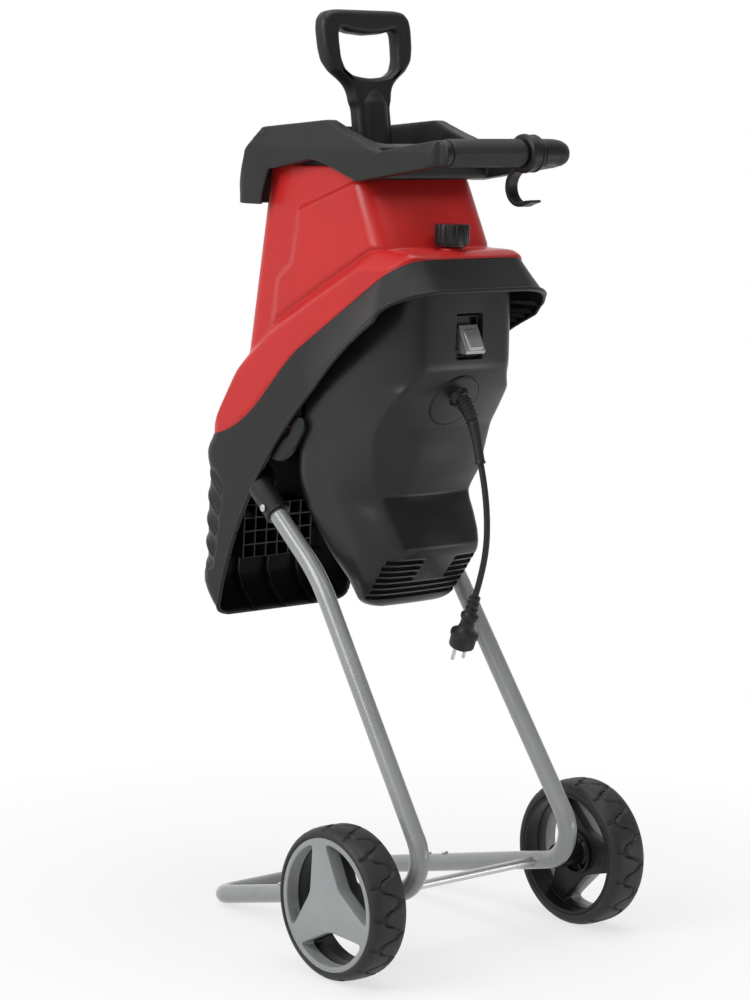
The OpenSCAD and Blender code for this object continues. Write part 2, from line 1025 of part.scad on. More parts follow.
// space below the split line, raised by the parting gap
module below_split() {
    xpoly(400)
        polygon(concat([for (p = split_line) p + [0, part_gap]],
            [[300, 655 + part_gap], [300, low_z], [rear_y - 80, low_z], [rear_y - 80, split_at(rear_y) + part_gap]]));
}

module hopper() {
    color(red)
        difference() {
            union() {
                difference() {
                    union() {
                        tower(0);
                        shoulder(0);
                    }
                    tower(wall);
                    shoulder(wall);
                    below_split();
                }
                intersection() {
                    tower(1);
                    translate([-200, -200, tower_z - deck_t])
                        cube([400, 400, deck_t]);
                }
                // walls of the feed throat
                intersection() {
                    feed()
                        translate([-throat_w / 2 - wall, -throat_d / 2 - wall, -260])
                            cube([throat_w + 2 * wall, throat_d + 2 * wall, 300]);
                    translate([-200, -300, 700])
                        cube([400, 600, tower_z - 700]);
                }
                translate([0, lock_y, shelf_z - 8])
                    cylinder(h = 12, r = 15);
                translate([0, hinge_y, hinge_z])
                    rotate([0, 90, 0])
                        cylinder(h = 52, r = knuckle_r, center = true);
                translate([-26, 246, hinge_z - 4])
                    cube([52, hinge_y - 246, 9]);
            }
            feed()
                translate([-throat_w / 2, -throat_d / 2, -300])
                    cube([throat_w, throat_d, 400]);
            deck()
                translate([-throat_w, -100, -300])
                    cube([2 * throat_w, 200, 303]);
            translate([0, lock_y, shelf_z - 20])
                cylinder(h = 40, r = screw_r + run_gap);
            hinge_bore(hinge_r + run_gap);
            collar_fix(pin_r, tower_z - deck_t - 1, tower_z + 1);
            translate([28, -142, shelf_z - 2])
                cube([34, 12, 4]);
        }
}

// screws that hold the collar to the hopper floor
module collar_fix(r, from, to) {
    for (x = [-flange_x, flange_x]) {
        for (y = [0, 100]) {
            translate([x, y, from])
                cylinder(h = to - from, r = r);
        }
    }
}

module collar_screws() {
    color(steel) {
        collar_fix(pin_r, tower_z - deck_t, tower_z + deck_t);
        collar_fix(4.5, tower_z + deck_t, tower_z + deck_t + 2.5);
    }
}

module collar_block() {
    hw = collar_w / 2;
    intersection() {
        xpoly(collar_w)
            polygon(collar_side);
        rotate([90, 0, 0])
            linear_extrude(600, center = true)
                polygon([[-hw, 960], [-hw, 1054], [12 - hw, 1096], [hw - 12, 1096], [hw, 1054], [hw, 960]]);
        translate([0, 0, 960])
            linear_extrude(140)
                round_rect(collar_w, -217, collar_front, 28);
    }
}

module collar() {
    color(black)
        difference() {
            union() {
                difference() {
                    collar_block();
                    translate([-arm_x, -240, 960])
                        cube([2 * arm_x, 240 - 78, 140]);
                }
                handle_core(bar_r, -arm_x - 2, arm_x + 2);
                handle_core(bar_r + 1, -collar_w / 2 + 10, -arm_x);
                handle_core(bar_r + 1, arm_x, collar_w / 2 - 10);
            }
            // funnel above the floor, and the hole in the flange
            translate([0, 0, tower_z + deck_t])
                linear_extrude(100)
                    round_rect(168, -62, 135, 18);
            translate([0, 0, tower_z - 10])
                linear_extrude(100)
                    round_rect(140, -30, 128, 14);
            // room for the tower and under the front flap
            translate([0, 0, 940])
                linear_extrude(tower_z - 940)
                    round_rect(tower_top_w + 12, -58, 170, 22);
            xpoly(collar_w - 2 * wall)
                polygon([[120, 940], [collar_front - wall, 960], [collar_front - wall, 974], [174, 1047], [147, 1073],
                    [143, tower_z], [120, tower_z]]);
            collar_fix(pin_r, tower_z - 1, tower_z + deck_t + 1);
        }
}

module handle_core(r, x0, x1) {
    translate([x0, bar_y, bar_z])
        rotate([0, 90, 0])
            cylinder(h = x1 - x0, r = r);
}

module handle_grip() {
    color(rubber)
        difference() {
            handle_core(grip_r, -arm_x + 3, hook_x - hook_w / 2 - 6);
            handle_core(bar_r, -arm_x, hook_x);
        }
}

module cable_hook() {
    color("#3a3b3d")
        difference() {
            union() {
                handle_core(bar_r + 6, hook_x - hook_w / 2, hook_x + hook_w / 2);
                translate([hook_x, bar_y + 7, bar_z - bar_r - 7 - hook_r])
                    rotate([90, 0, 90])
                        rotate([0, 0, -150])
                            rotate_extrude(angle = 250)
                                translate([hook_r, -hook_w / 2])
                                    square([hook_t, hook_w]);
            }
            handle_core(bar_r + run_gap, hook_x - hook_w, hook_x + hook_w);
        }
}

module counter_blade() {
    color(steel)
        feed()
            translate([-throat_w / 2, -throat_d / 2 - wall - 6, -186])
                cube([throat_w, 6, 14]);
}

// round bar between two points of the plunger handle, given as X and Z
module dee_rod(a, b) {
    d = b - a;
    translate([a[0], 0, a[1]])
        rotate([0, atan2(d[0], d[1]), 0])
            cylinder(h = norm(d), r = dee_r);
}

module plunger() {
    half_w = dee_w / 2;
    color(black) {
        feed() {
            translate([-stem_w / 2, -stem_d / 2, -stem_drop])
                cube([stem_w, stem_d, stem_drop + neck_z]);
            translate([3 * fit - throat_w / 2, 3 * fit - throat_d / 2, -stem_drop])
                cube([throat_w - 6 * fit, throat_d - 6 * fit, 5]);
            rotate([90, 0, 0])
                linear_extrude(stem_d, center = true)
                    polygon([[-stem_w / 2, neck_z - 2], [stem_w / 2, neck_z - 2], [stem_w / 2 + 16, 112], [26, 120],
                        [-26, 120], [-stem_w / 2 - 16, 112]]);
            for (s = [-1, 1]) {
                dee_rod([s * half_w, dee_z - dee_bend + lap], [s * (half_w - 4), 142]);
                translate([s * (half_w - 4), 0, 142])
                    sphere(dee_r + ball_step);
                dee_rod([s * (half_w - 4), 142], [s * 26, 108]);
                rotate([90, 0, 0])
                    translate([s * (half_w - dee_bend), dee_z - dee_bend, 0])
                        rotate([0, 0, s > 0 ? 0 : 90])
                            rotate_extrude(angle = 90)
                                translate([dee_bend, 0])
                                    circle(dee_r + ball_step);
            }
            dee_rod([dee_bend - half_w - lap, dee_z], [half_w - dee_bend + lap, dee_z]);
        }
        translate([-throat_w / 2 - 6, feed_y - throat_d / 2 - 8, tower_z + part_gap])
            cube([throat_w + 12, throat_d + 16, deck_t]);
    }
}

module plunger_pad() {
    color(rubber)
        feed()
            translate([fit - throat_w / 2, fit - throat_d / 2, -stem_drop - pad_t])
                cube([throat_w - 2 * fit, throat_d - 2 * fit, pad_t]);
}

module lock_knob() {
    color(satin)
        translate([0, lock_y, knob_z])
            difference() {
                union() {
                    cylinder(h = 4, r = knob_d / 2 - 3);
                    translate([0, 0, 4])
                        cylinder(h = 25, r = knob_d / 2);
                }
                for (i = [0:11]) {
                    rotate([0, 0, 30 * i])
                        translate([knob_d / 2 + 0.6, 0, 4])
                            cylinder(h = 30, r = 2.4);
                }
                translate([0, 0, -1])
                    cylinder(h = 15, r = screw_r);
            }
}

module lock_screw() {
    color(steel)
        translate([0, lock_y, lug_z - 3])
            cylinder(h = knob_z + 14 - lug_z + 3, r = screw_r);
}

// children on the wheel axis, Z running outwards from the middle of the machine
module on_wheel(s) {
    translate([0, axle_y, axle_z])
        mirror([s > 0 ? 0 : 1, 0, 0])
            rotate([0, 90, 0])
                children();
}

module ring(r_out, r_in, from, to) {
    translate([0, 0, from])
        difference() {
            cylinder(h = to - from, r = r_out);
            translate([0, 0, -1])
                cylinder(h = to - from + 2, r = r_in);
        }
}

module rim(s) {
    color(black)
        on_wheel(s)
            difference() {
                union() {
                    ring(rim_r, rim_r - 5, wheel_in + 1, face_in);
                    translate([0, 0, hub_in])
                        cylinder(h = hub_out - hub_in, r = hub_r);
                    translate([0, 0, web_z])
                        cylinder(h = web_t, r = rim_r - 2);
                    for (a = [0, 120, 240]) {
                        rotate([0, 0, a])
                            translate([hub_r - 3, -3, wheel_in + 6])
                                cube([rim_r - hub_r - 1, 6, web_z - wheel_in]);
                    }
                }
                translate([0, 0, hub_in - 1])
                    cylinder(h = hub_out - hub_in + 2, r = bore_r);
                for (a = [60, 180, 300]) {
                    rotate([0, 0, a])
                        translate([50, 0, web_z - 1])
                            cylinder(h = web_t + 2, r = 22);
                }
            }
}

module tyre(s) {
    r = wheel_d / 2;
    f = face_d / 2;
    color(rubber)
        on_wheel(s)
            difference() {
                rotate_extrude()
                    polygon([[rim_r, wheel_in], [rim_r, face_in], [f, face_in], [f, wheel_out], [r - 7, wheel_out],
                        [r - 2, wheel_out - 4], [r, wheel_out - 9], [r, wheel_in + 9], [r - 2, wheel_in + 4],
                        [r - 7, wheel_in]]);
                for (i = [0:tread - 1]) {
                    rotate([0, 0, 360 / tread * i])
                        translate([r - 3, -3, wheel_in - 1])
                            cube([8, 6, tyre_w * 0.36]);
                    rotate([0, 0, 360 / tread * (i + 0.5)])
                        translate([r - 3, -3, wheel_out + 1 - tyre_w * 0.36])
                            cube([8, 6, tyre_w * 0.36]);
                }
            }
}

module face(s) {
    f = face_d / 2;
    color(silver)
        on_wheel(s) {
            translate([0, 0, face_in])
                linear_extrude(wheel_out - face_in)
                    difference() {
                        circle(f);
                        face_holes();
                    }
            translate([0, 0, face_in - 12])
                linear_extrude(12)
                    difference() {
                        circle(rim_r - 5);
                        circle(rim_r - 8);
                    }
        }
}

// the three openings between the spokes
module face_holes() {
    difference() {
        circle(face_d / 2 - 15);
        circle(26);
        for (a = [60, 180, 300]) {
            rotate([0, 0, a])
                translate([0, -15])
                    square([face_d, 30]);
        }
    }
}

module rim_left() {
    rim(-1);
}

module rim_right() {
    rim(1);
}

module tyre_left() {
    tyre(-1);
}

module tyre_right() {
    tyre(1);
}

module face_left() {
    face(-1);
}

module face_right() {
    face(1);
}

// children on the cutting shaft and on the motor shaft
module on_rotor() {
    deck()
        translate([0, rotor_y, 0])
            children();
}

module on_motor() {
    deck()
        translate([0, motor_y, 0])
            children();
}

module rotor_shaft() {
    color(steel)
        on_rotor() {
            translate([0, 0, bracket_top - bracket_t])
                cylinder(h = disc_top - bracket_top + bracket_t, r = shaft_r);
            translate([0, 0, disc_top])
                cylinder(h = 3, r = 13, $fn = 6);
        }
}

// screws of both blades
module blade_fix(r, from, to) {
    for (a = [0, 180]) {
        rotate([0, 0, a])
            for (x = [46, 74]) {
                translate([x, 0, from])
                    cylinder(h = to - from, r = r);
            }
    }
}

module rotor_disc() {
    color("#8c8f92")
        on_rotor()
            difference() {
                translate([0, 0, disc_low])
                    cylinder(h = disc_t, r = disc_d / 2);
                translate([0, 0, disc_low - 1])
                    cylinder(h = disc_t + 2, r = shaft_r);
                blade_fix(pin_r, disc_low - 1, disc_top + 1);
            }
}

module blades() {
    color(steel)
        on_rotor()
            difference() {
                for (a = [0, 180]) {
                    rotate([0, 0, a])
                        translate([26, -12, disc_top])
                            cube([blade_r, 26, blade_t]);
                }
                blade_fix(pin_r, disc_top - 1, disc_top + blade_t + 1);
            }
}

module blade_screws() {
    color("#55585b")
        on_rotor() {
            blade_fix(pin_r, disc_low, disc_top + blade_t);
            blade_fix(5, disc_top + blade_t, disc_top + blade_t + 2);
        }
}

// outline of a gear with straight-sided teeth
function gear_line(n, r) = [for (i = [0:n - 1]) for (k = [[-0.25, -2.4], [-0.11, 1.6], [0.11, 1.6], [0.25, -2.4]])
    let (a = 360 / n * (i + k[0])) (r + k[1]) * [cos(a), sin(a)]];

module drive_gear() {
    color("#9a9c9e")
        on_rotor()
            translate([0, 0, gear_top - gear_t])
                linear_extrude(gear_t)
                    difference() {
                        polygon(gear_line(gear_n, gear_r));
                        circle(shaft_r);
                    }
}

module armature() {
    color("#7d7f82")
        on_motor() {
            translate([0, 0, gear_top - gear_t])
                linear_extrude(gear_t)
                    rotate(180 / pinion_n)
                        polygon(gear_line(pinion_n, pinion_r));
            translate([0, 0, end_low])
                cylinder(h = gear_top - gear_t - end_low, r = arm_r);
            translate([0, 0, stator_low + 6])
                cylinder(h = stator_len - 12, r = core_r);
        }
}

module commutator() {
    color("#b5773a")
        on_motor()
            ring(14, arm_r, stator_low - 18, stator_low - 2);
}

module fan() {
    color(black)
        on_motor() {
            ring(10, arm_r, end_low + 6, end_low + 14);
            for (a = [0:45:315]) {
                rotate([0, 0, a])
                    translate([9, -1, end_low + 6])
                        cube([19, 2, 8]);
            }
        }
}

hood();
chute_lattice();
bag_hooks();
mid_plate();
motor_cover();
bearing_block();
rotor_bearing();
gear_bracket();
stator();
end_bracket();
brush_holders();
interlock();
switch_frame();
gland_plate();
strain_relief();
cord();
plug_body();
plug_pins();
cover_screws();
leg_left();
leg_right();
foot_bar();
joint_sleeves();
axle();
axle_spacers();
axle_clips();
frame_screws();
hinge_pin();
hopper();
collar();
handle_grip();
collar_screws();
counter_blade();
plunger();
plunger_pad();
lock_knob();
lock_screw();
rocker();
cable_hook();
rim_left();
tyre_left();
face_left();
rim_right();
tyre_right();
face_right();
rotor_shaft();
rotor_disc();
blades();
blade_screws();
drive_gear();
armature();
commutator();
fan();
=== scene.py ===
"""Looks of a garden shredder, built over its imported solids.

Sizes are millimetres, turned to metres on the way in. Lamps and floor are in metres.
"""
import math

import bmesh
import bpy
from mathutils import Matrix, Vector


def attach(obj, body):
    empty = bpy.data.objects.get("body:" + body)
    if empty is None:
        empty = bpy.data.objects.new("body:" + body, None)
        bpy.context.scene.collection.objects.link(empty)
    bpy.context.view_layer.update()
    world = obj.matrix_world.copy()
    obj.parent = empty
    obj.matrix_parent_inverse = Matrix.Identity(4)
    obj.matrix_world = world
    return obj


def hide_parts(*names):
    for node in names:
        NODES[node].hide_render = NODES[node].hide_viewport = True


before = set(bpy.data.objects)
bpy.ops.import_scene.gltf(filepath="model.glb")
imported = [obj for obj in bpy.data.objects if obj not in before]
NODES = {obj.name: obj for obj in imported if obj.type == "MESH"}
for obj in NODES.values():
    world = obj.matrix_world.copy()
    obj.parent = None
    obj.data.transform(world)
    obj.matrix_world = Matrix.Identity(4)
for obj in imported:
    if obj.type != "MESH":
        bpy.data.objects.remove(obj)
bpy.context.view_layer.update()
MM = 0.001


def new_object(name, data):
    made = bpy.data.objects.new(name, data)
    bpy.context.scene.collection.objects.link(made)
    return made


# Camera at the photograph's viewing point

CAMERA_AT = (-2560.3, -2977.1, 1142.7)
HEADING = math.radians(40.437)
PITCH = math.radians(8.12)
ROLL = math.radians(1.0)
LENS = 105.87
SENSOR = 36


def add_camera():
    data = bpy.data.cameras.new("camera")
    data.lens = LENS
    data.sensor_width = SENSOR
    camera = new_object("camera", data)
    flat = math.cos(PITCH)
    forward = Vector((math.sin(HEADING) * flat, math.cos(HEADING) * flat, -math.sin(PITCH)))
    level = Vector((math.cos(HEADING), -math.sin(HEADING), 0))
    upright = level.cross(forward)
    right = level * math.cos(ROLL) + upright * math.sin(ROLL)
    up = right.cross(forward)
    turn = Matrix((right, up, -forward)).transposed().to_4x4()
    camera.matrix_world = Matrix.Translation(Vector(CAMERA_AT) * MM) @ turn
    bpy.context.scene.camera = camera


# Materials

PATCH_SCALE = 14.0
NOISE_RANGE = (0.3, 0.7)
EDGE_RANGE = (0.98, 0.75)
# How much paler the edges are painted: partly wear, partly a painted highlight along them.
EDGE_WEAR_SHEEN = 1.7
ROUGH_LOW = 0.85
ROUGH_HIGH = 1.15
COAT_ROUGH = 0.12
BUMP_DISTANCE = 0.0006


def node_of(tree, kind, **values):
    made = tree.nodes.new(kind)
    for name, value in values.items():
        if hasattr(made, name):
            setattr(made, name, value)
        else:
            made.inputs[name.replace("_", " ").title()].default_value = value
    return made


def coords(tree, scale):
    place = tree.nodes.new("ShaderNodeTexCoord")
    size = tree.nodes.new("ShaderNodeMapping")
    size.inputs["Scale"].default_value = scale
    tree.links.new(place.outputs["Object"], size.inputs["Vector"])
    return size.outputs["Vector"]


def ramp(tree, source, low, high, start, end):
    made = tree.nodes.new("ShaderNodeMapRange")
    for name, value in zip(("From Min", "From Max", "To Min", "To Max"), (low, high, start, end)):
        made.inputs[name].default_value = value
    tree.links.new(source, made.inputs["Value"])
    return made.outputs["Result"]


def mix(tree, share, first, second):
    made = tree.nodes.new("ShaderNodeMix")
    made.data_type = "RGBA"
    tree.links.new(share, made.inputs["Factor"])
    for value, socket in ((first, made.inputs["A"]), (second, made.inputs["B"])):
        if isinstance(value, tuple):
            socket.default_value = (*value, 1)
        else:
            tree.links.new(value, socket)
    return made.outputs["Result"]


def shade(colour, by):
    return tuple(min(1.0, c * by) for c in colour)


def new_material(name):
    made = bpy.data.materials.new(name)
    made.use_nodes = True
    tree = made.node_tree
    return made, tree, tree.links.new, tree.nodes["Principled BSDF"]


def material(name, colour, rough, grain=900.0, bump=0.06, spread=0.12, scuff_and_sheen=0.35, metal=0.0, coat=0.0,
             edge=1.2, streak=(1, 1, 1), gloss=0.5):
    """A moulded, painted or metal surface: mottled colour, uneven gloss, fine grain, and paler edges that are
    partly wear, partly a painted highlight.
    """
    made, tree, link, shader = new_material(name)
    shader.inputs["Metallic"].default_value = metal
    shader.inputs["Coat Weight"].default_value = coat
    shader.inputs["Coat Roughness"].default_value = COAT_ROUGH
    shader.inputs["Specular IOR Level"].default_value = gloss
    where = coords(tree, streak)
    patches = node_of(tree, "ShaderNodeTexNoise", scale=PATCH_SCALE, detail=4.0)
    fine = node_of(tree, "ShaderNodeTexNoise", scale=grain, detail=2.0)
    for noise in (patches, fine):
        link(where, noise.inputs["Vector"])
    blotch = ramp(tree, patches.outputs["Fac"], *NOISE_RANGE, 0.0, 1.0)
    tint = mix(tree, blotch, shade(colour, 1 - spread), shade(colour, 1 + spread))
    rounded = node_of(tree, "ShaderNodeBevel", samples=4, radius=edge * MM)
    flat = tree.nodes.new("ShaderNodeNewGeometry")
    match = node_of(tree, "ShaderNodeVectorMath", operation="DOT_PRODUCT")
    link(rounded.outputs["Normal"], match.inputs[0])
    link(flat.outputs["True Normal"], match.inputs[1])
    # Edges made paler: partly wear, partly a painted highlight.
    scuffed_lit_edges = ramp(tree, match.outputs["Value"], *EDGE_RANGE, 0.0, scuff_and_sheen)
    link(mix(tree, scuffed_lit_edges, tint, shade(colour, EDGE_WEAR_SHEEN)), shader.inputs["Base Color"])
    uneven = ramp(tree, patches.outputs["Fac"], *NOISE_RANGE, rough * ROUGH_LOW, min(1.0, rough * ROUGH_HIGH))
    link(uneven, shader.inputs["Roughness"])
    relief = node_of(tree, "ShaderNodeBump", strength=bump, distance=BUMP_DISTANCE)
    link(fine.outputs["Fac"], relief.inputs["Height"])
    link(rounded.outputs["Normal"], relief.inputs["Normal"])
    link(relief.outputs["Normal"], shader.inputs["Normal"])
    return made


RED = material("red_plastic", (0.52, 0.020, 0.018), 0.34, grain=500, bump=0.05, spread=0.05, scuff_and_sheen=0.25,
               gloss=0.32)
BLACK = material("black_plastic", (0.013, 0.013, 0.0135), 0.42, grain=1200, bump=0.12, spread=0.15,
                 gloss=0.26)
DARK = material("dark_satin_plastic", (0.012, 0.012, 0.0125), 0.30, grain=900, bump=0.07, spread=0.15,
                gloss=0.3)
GRIP = material("soft_grip", (0.022, 0.022, 0.022), 0.6, grain=420, bump=0.55, spread=0.2, scuff_and_sheen=0.2,
                gloss=0.3)
# A darker, duller copy of the black plastic: painted shade, for inner faces and hollows.
SHADE_BLACK = material("painted_shade_black_plastic", (0.006, 0.006, 0.006), 0.62, grain=900, bump=0.1, spread=0.2,
                scuff_and_sheen=0.2, gloss=0.12)
RUBBER = material("rubber", (0.020, 0.020, 0.020), 0.52, grain=700, bump=0.25, spread=0.25, scuff_and_sheen=0.5,
                  gloss=0.34)
CABLE = material("cable_rubber", (0.014, 0.014, 0.0145), 0.5, grain=900, bump=0.15, spread=0.2, gloss=0.3)
PAINT = material("grey_powder_paint", (0.27, 0.28, 0.28), 0.3, grain=1600, bump=0.03, spread=0.05, scuff_and_sheen=0.2,
                 coat=0.5, edge=0.3)
WHEEL = material("grey_wheel_plastic", (0.30, 0.315, 0.315), 0.42, grain=900, bump=0.06, spread=0.05,
                 scuff_and_sheen=0.3)
STEEL = material("bright_steel", (0.55, 0.55, 0.56), 0.28, grain=300, bump=0.05, spread=0.08, metal=1.0,
                 streak=(1, 1, 8))
DULL = material("dull_cast_metal", (0.32, 0.32, 0.33), 0.5, grain=260, bump=0.2, spread=0.15, metal=0.9)
SILVER = material("silver_switch", (0.38, 0.38, 0.375), 0.2, grain=500, bump=0.04, spread=0.12, scuff_and_sheen=0.8,
                  metal=0.5)
COPPER = material("copper", (0.55, 0.25, 0.1), 0.35, grain=300, bump=0.05, metal=1.0)

FINISHES = {
    RED: ["hopper"],
    BLACK: ["hood", "chute_lattice", "collar", "plunger", "axle_spacers", "interlock", "fan", "rim_left",
            "rim_right", "bag_hooks", "cable_hook"],
    DARK: ["motor_cover", "switch_frame", "gland_plate", "lock_knob"],
    GRIP: ["handle_grip"],
    RUBBER: ["tyre_left", "tyre_right", "plunger_pad"],
    CABLE: ["strain_relief", "cord", "plug_body"],
    PAINT: ["leg_left", "leg_right", "foot_bar"],
    WHEEL: ["face_left", "face_right"],
    STEEL: ["mid_plate", "rotor_bearing", "plug_pins", "cover_screws", "joint_sleeves", "axle",
            "axle_clips", "frame_screws", "hinge_pin", "collar_screws", "counter_blade", "lock_screw",
            "rotor_shaft", "blades", "blade_screws"],
    DULL: ["bearing_block", "gear_bracket", "end_bracket", "stator", "rotor_disc", "drive_gear",
           "armature"],
    SILVER: ["rocker"],
    COPPER: ["commutator", "brush_holders"],
}


def dress_nodes():
    for finish, names in FINISHES.items():
        for name in names:
            slots = NODES[name].data.materials
            slots.clear()
            slots.append(finish)


# Supply cord along the route of the solid, from the end of the strain relief to the plug

CORD_R = 4.2
SLEEVE_END = Vector((0, -183, 652))
CORD_FROM = Vector((0, -171, 690))
CORD_LOW = Vector((0, -198, 562))
CORD_PULL = 30
CORD_RISE = Vector((0, 0, 34))
CORD_DROP = Vector((0, 0, -30))
PLUG_TOP = Vector((0, -178, 476))
PLUG_LEAN = math.radians(20)
PLUG_AXIS = Vector((0, math.sin(PLUG_LEAN), -math.cos(PLUG_LEAN)))


def cord_route():
    leave = (SLEEVE_END - CORD_FROM).normalized()
    upper = bezier(SLEEVE_END, SLEEVE_END + leave * CORD_PULL, CORD_LOW + CORD_RISE, CORD_LOW, 10)
    lower = bezier(CORD_LOW, CORD_LOW + CORD_DROP, PLUG_TOP - PLUG_AXIS * CORD_PULL, PLUG_TOP, 9)
    return upper + lower[1:]


def add_cord(parts):
    route = cord_route()
    data = bpy.data.curves.new("supply_cord", "CURVE")
    data.dimensions = "3D"
    data.bevel_depth = CORD_R * MM
    data.bevel_resolution = 5
    line = data.splines.new("POLY")
    line.points.add(len(route) - 1)
    for point, place in zip(line.points, route):
        point.co = (*(place * MM), 1)
    data.materials.append(CABLE)
    cord = new_object("supply_cord", data)
    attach(cord, "base")
    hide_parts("cord")


# Mesh helpers

WELD_GAP = 0.02
LOOP_STEP = 2.0


def lerp(a, b, t):
    return a + (b - a) * t


def bezier(a, b, c, d, count):
    points = []
    for i in range(count + 1):
        t = i / count
        s = 1 - t
        points.append(a * s ** 3 + b * 3 * s * s * t + c * 3 * s * t * t + d * t ** 3)
    return points


def clamp(x, low=0.0, high=1.0):
    return max(low, min(high, x))


def ease(x):
    x = clamp(x)
    return x * x * (3 - 2 * x)


def along(points, x):
    """Value at x on the line through (x, value) pairs whose x rises."""
    if x <= points[0][0]:
        return points[0][1]
    for (x0, v0), (x1, v1) in zip(points, points[1:]):
        if x <= x1:
            return lerp(v0, v1, (x - x0) / (x1 - x0))
    return points[-1][1]


def grid(rows, closed=True, looped=False):
    """Vertices and quads of rows of points, facing out where the rows run round a form, top down."""
    width = len(rows[0])
    faces = []
    for r in range(len(rows) if looped else len(rows) - 1):
        below = (r + 1) % len(rows)
        for k in range(width if closed else width - 1):
            n = (k + 1) % width
            faces.append((r * width + k, below * width + k, below * width + n, r * width + n))
    return [p for row in rows for p in row], faces


def capped(rows):
    """A grid of closed rows with its first and last row filled in."""
    verts, faces = grid(rows)
    width = len(rows[0])
    faces.append(tuple(range(width)))
    faces.append(tuple(len(verts) - 1 - k for k in range(width)))
    return verts, faces


def join(*parts):
    """Several lists of vertices and faces as one."""
    verts, faces = [], []
    for more, quads in parts:
        faces += [tuple(i + len(verts) for i in quad) for quad in quads]
        verts += more
    return verts, faces


def plate(loops, depth, edge, place, rounds=2):
    """A flat outline with holes as a solid with rounded edges, put in the world by place(x, y, depth)."""
    data = bpy.data.curves.new("plate", "CURVE")
    data.dimensions = "2D"
    data.fill_mode = "BOTH"
    data.extrude = depth / 2 - edge
    data.bevel_depth = edge
    data.bevel_resolution = rounds
    data.offset = -edge
    for loop in loops:
        line = data.splines.new("POLY")
        line.points.add(len(loop) - 1)
        for point, (x, y) in zip(line.points, loop):
            point.co = (x, y, 0, 1)
        line.use_cyclic_u = True
    drawn = bpy.data.objects.new("plate", data)
    mesh = bpy.data.meshes.new_from_object(drawn)
    verts = [place(v.co.x, v.co.y, v.co.z + depth / 2) for v in mesh.vertices]
    faces = [tuple(f.vertices) for f in mesh.polygons]
    bpy.data.objects.remove(drawn)
    bpy.data.curves.remove(data)
    bpy.data.meshes.remove(mesh)
    return verts, faces


def smooth_loop(points, rounds):
    """A closed outline in even steps with its corners eased."""
    dense = []
    for a, b in zip(points, points[1:] + points[:1]):
        count = max(1, round(math.dist(a, b) / LOOP_STEP))
        dense += [(lerp(a[0], b[0], i / count), lerp(a[1], b[1], i / count)) for i in range(count)]
    for _ in range(rounds):
        dense = [tuple(lerp(p[i], (q[i] + s[i]) / 2, 0.5) for i in (0, 1))
                 for q, p, s in zip(dense[-1:] + dense[:-1], dense, dense[1:] + dense[:1])]
    return dense


def circle(radius, count=96, middle=(0, 0)):
    turns = [2 * math.pi * i / count for i in range(count)]
    return [(middle[0] + radius * math.cos(a), middle[1] + radius * math.sin(a)) for a in turns]


def lathe(profile, place, count=64):
    """A closed profile of (radius, height) pairs turned round an axis, put in the world by place."""
    rows = []
    for i in range(count):
        a = 2 * math.pi * i / count
        rows.append([place(r * math.cos(a), r * math.sin(a), h) for r, h in profile])
    return grid(rows, looped=True)


def soften(rows, rounds):
    """Closed rows of points with their creases eased. The first and the last row stay where they are."""
    for _ in range(rounds):
        before = [[Vector(p) for p in row] for row in rows]
        for r in range(1, len(rows) - 1):
            row = before[r]
            for k, point in enumerate(row):
                around = [before[r - 1][k], before[r + 1][k], row[k - 1], row[(k + 1) % len(row)]]
                rows[r][k] = point.lerp(sum(around, Vector()) / 4, 0.5)
    return rows


def piece(name, verts, faces, body, finish, replaces=(), sharp=40, solid=False):
    data = bpy.data.meshes.new(name)
    data.from_pydata([Vector(v) * MM for v in verts], [], faces)
    if solid:
        shape = bmesh.new()
        shape.from_mesh(data)
        bmesh.ops.remove_doubles(shape, verts=shape.verts, dist=0.002 * MM)
        bmesh.ops.recalc_face_normals(shape, faces=shape.faces)
        shape.to_mesh(data)
        shape.free()
    data.materials.append(finish)
    data.shade_smooth()
    data.set_sharp_from_angle(angle=math.radians(sharp))
    made = new_object(name, data)
    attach(made, body)
    if replaces:
        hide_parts(*replaces)
    return made


def thicken(made, thickness):
    wall = made.modifiers.new("wall", "SOLIDIFY")
    wall.thickness = thickness * MM
    wall.offset = -1
    return wall


def weld(made):
    made.modifiers.new("joined", "WELD").merge_threshold = WELD_GAP * MM


def round_edges(made, width):
    """Rounds the edges of a solid's mesh: its faces are joined first, so that only real edges are cut."""
    weld(made)
    flat = made.modifiers.new("flat", "DECIMATE")
    flat.decimate_type = "DISSOLVE"
    flat.angle_limit = math.radians(0.5)
    cut = made.modifiers.new("rounded", "BEVEL")
    cut.width = width * MM
    cut.segments = 3
    cut.limit_method = "ANGLE"
    cut.angle_limit = math.radians(30)
    cut.harden_normals = True


ROUNDED = {"lock_knob": 0.8, "chute_lattice": 0.5, "frame_screws": 0.6}


def round_nodes():
    for name, width in ROUNDED.items():
        round_edges(NODES[name], width)


def ring(hw, y0, y1, rear, front, counts):
    """Plan points and outward directions of a rounded rectangle, from the right rear round by the front."""
    side, across, arc = counts
    points = []

    def corner(x, y, r, quarter):
        for i in range(arc):
            a = math.pi / 2 * (quarter + i / arc)
            points.append((x + r * math.cos(a), y + r * math.sin(a), math.cos(a), math.sin(a)))

    def straight(start, end, count, way):
        for i in range(count):
            points.append((lerp(start[0], end[0], i / count), lerp(start[1], end[1], i / count), *way))
    low, high = y0 + rear, y1 - front
    straight((hw, low), (hw, high), side, (1, 0))
    corner(hw - front, high, front, 0)
    straight((hw - front, y1), (front - hw, y1), across, (0, 1))
    corner(front - hw, high, front, 1)
    straight((-hw, high), (-hw, low), side, (-1, 0))
    corner(rear - hw, low, rear, 2)
    straight((rear - hw, y0), (hw - rear, y0), across, (0, -1))
    corner(hw - rear, low, rear, 3)
    return points


def corner_box(hw, y0, y1, radius):
    return [(p[0], p[1]) for p in ring(hw, y0, y1, radius, radius, (2, 2, 8))]


# Hopper: tower, fold and shoulder in one moulded skin

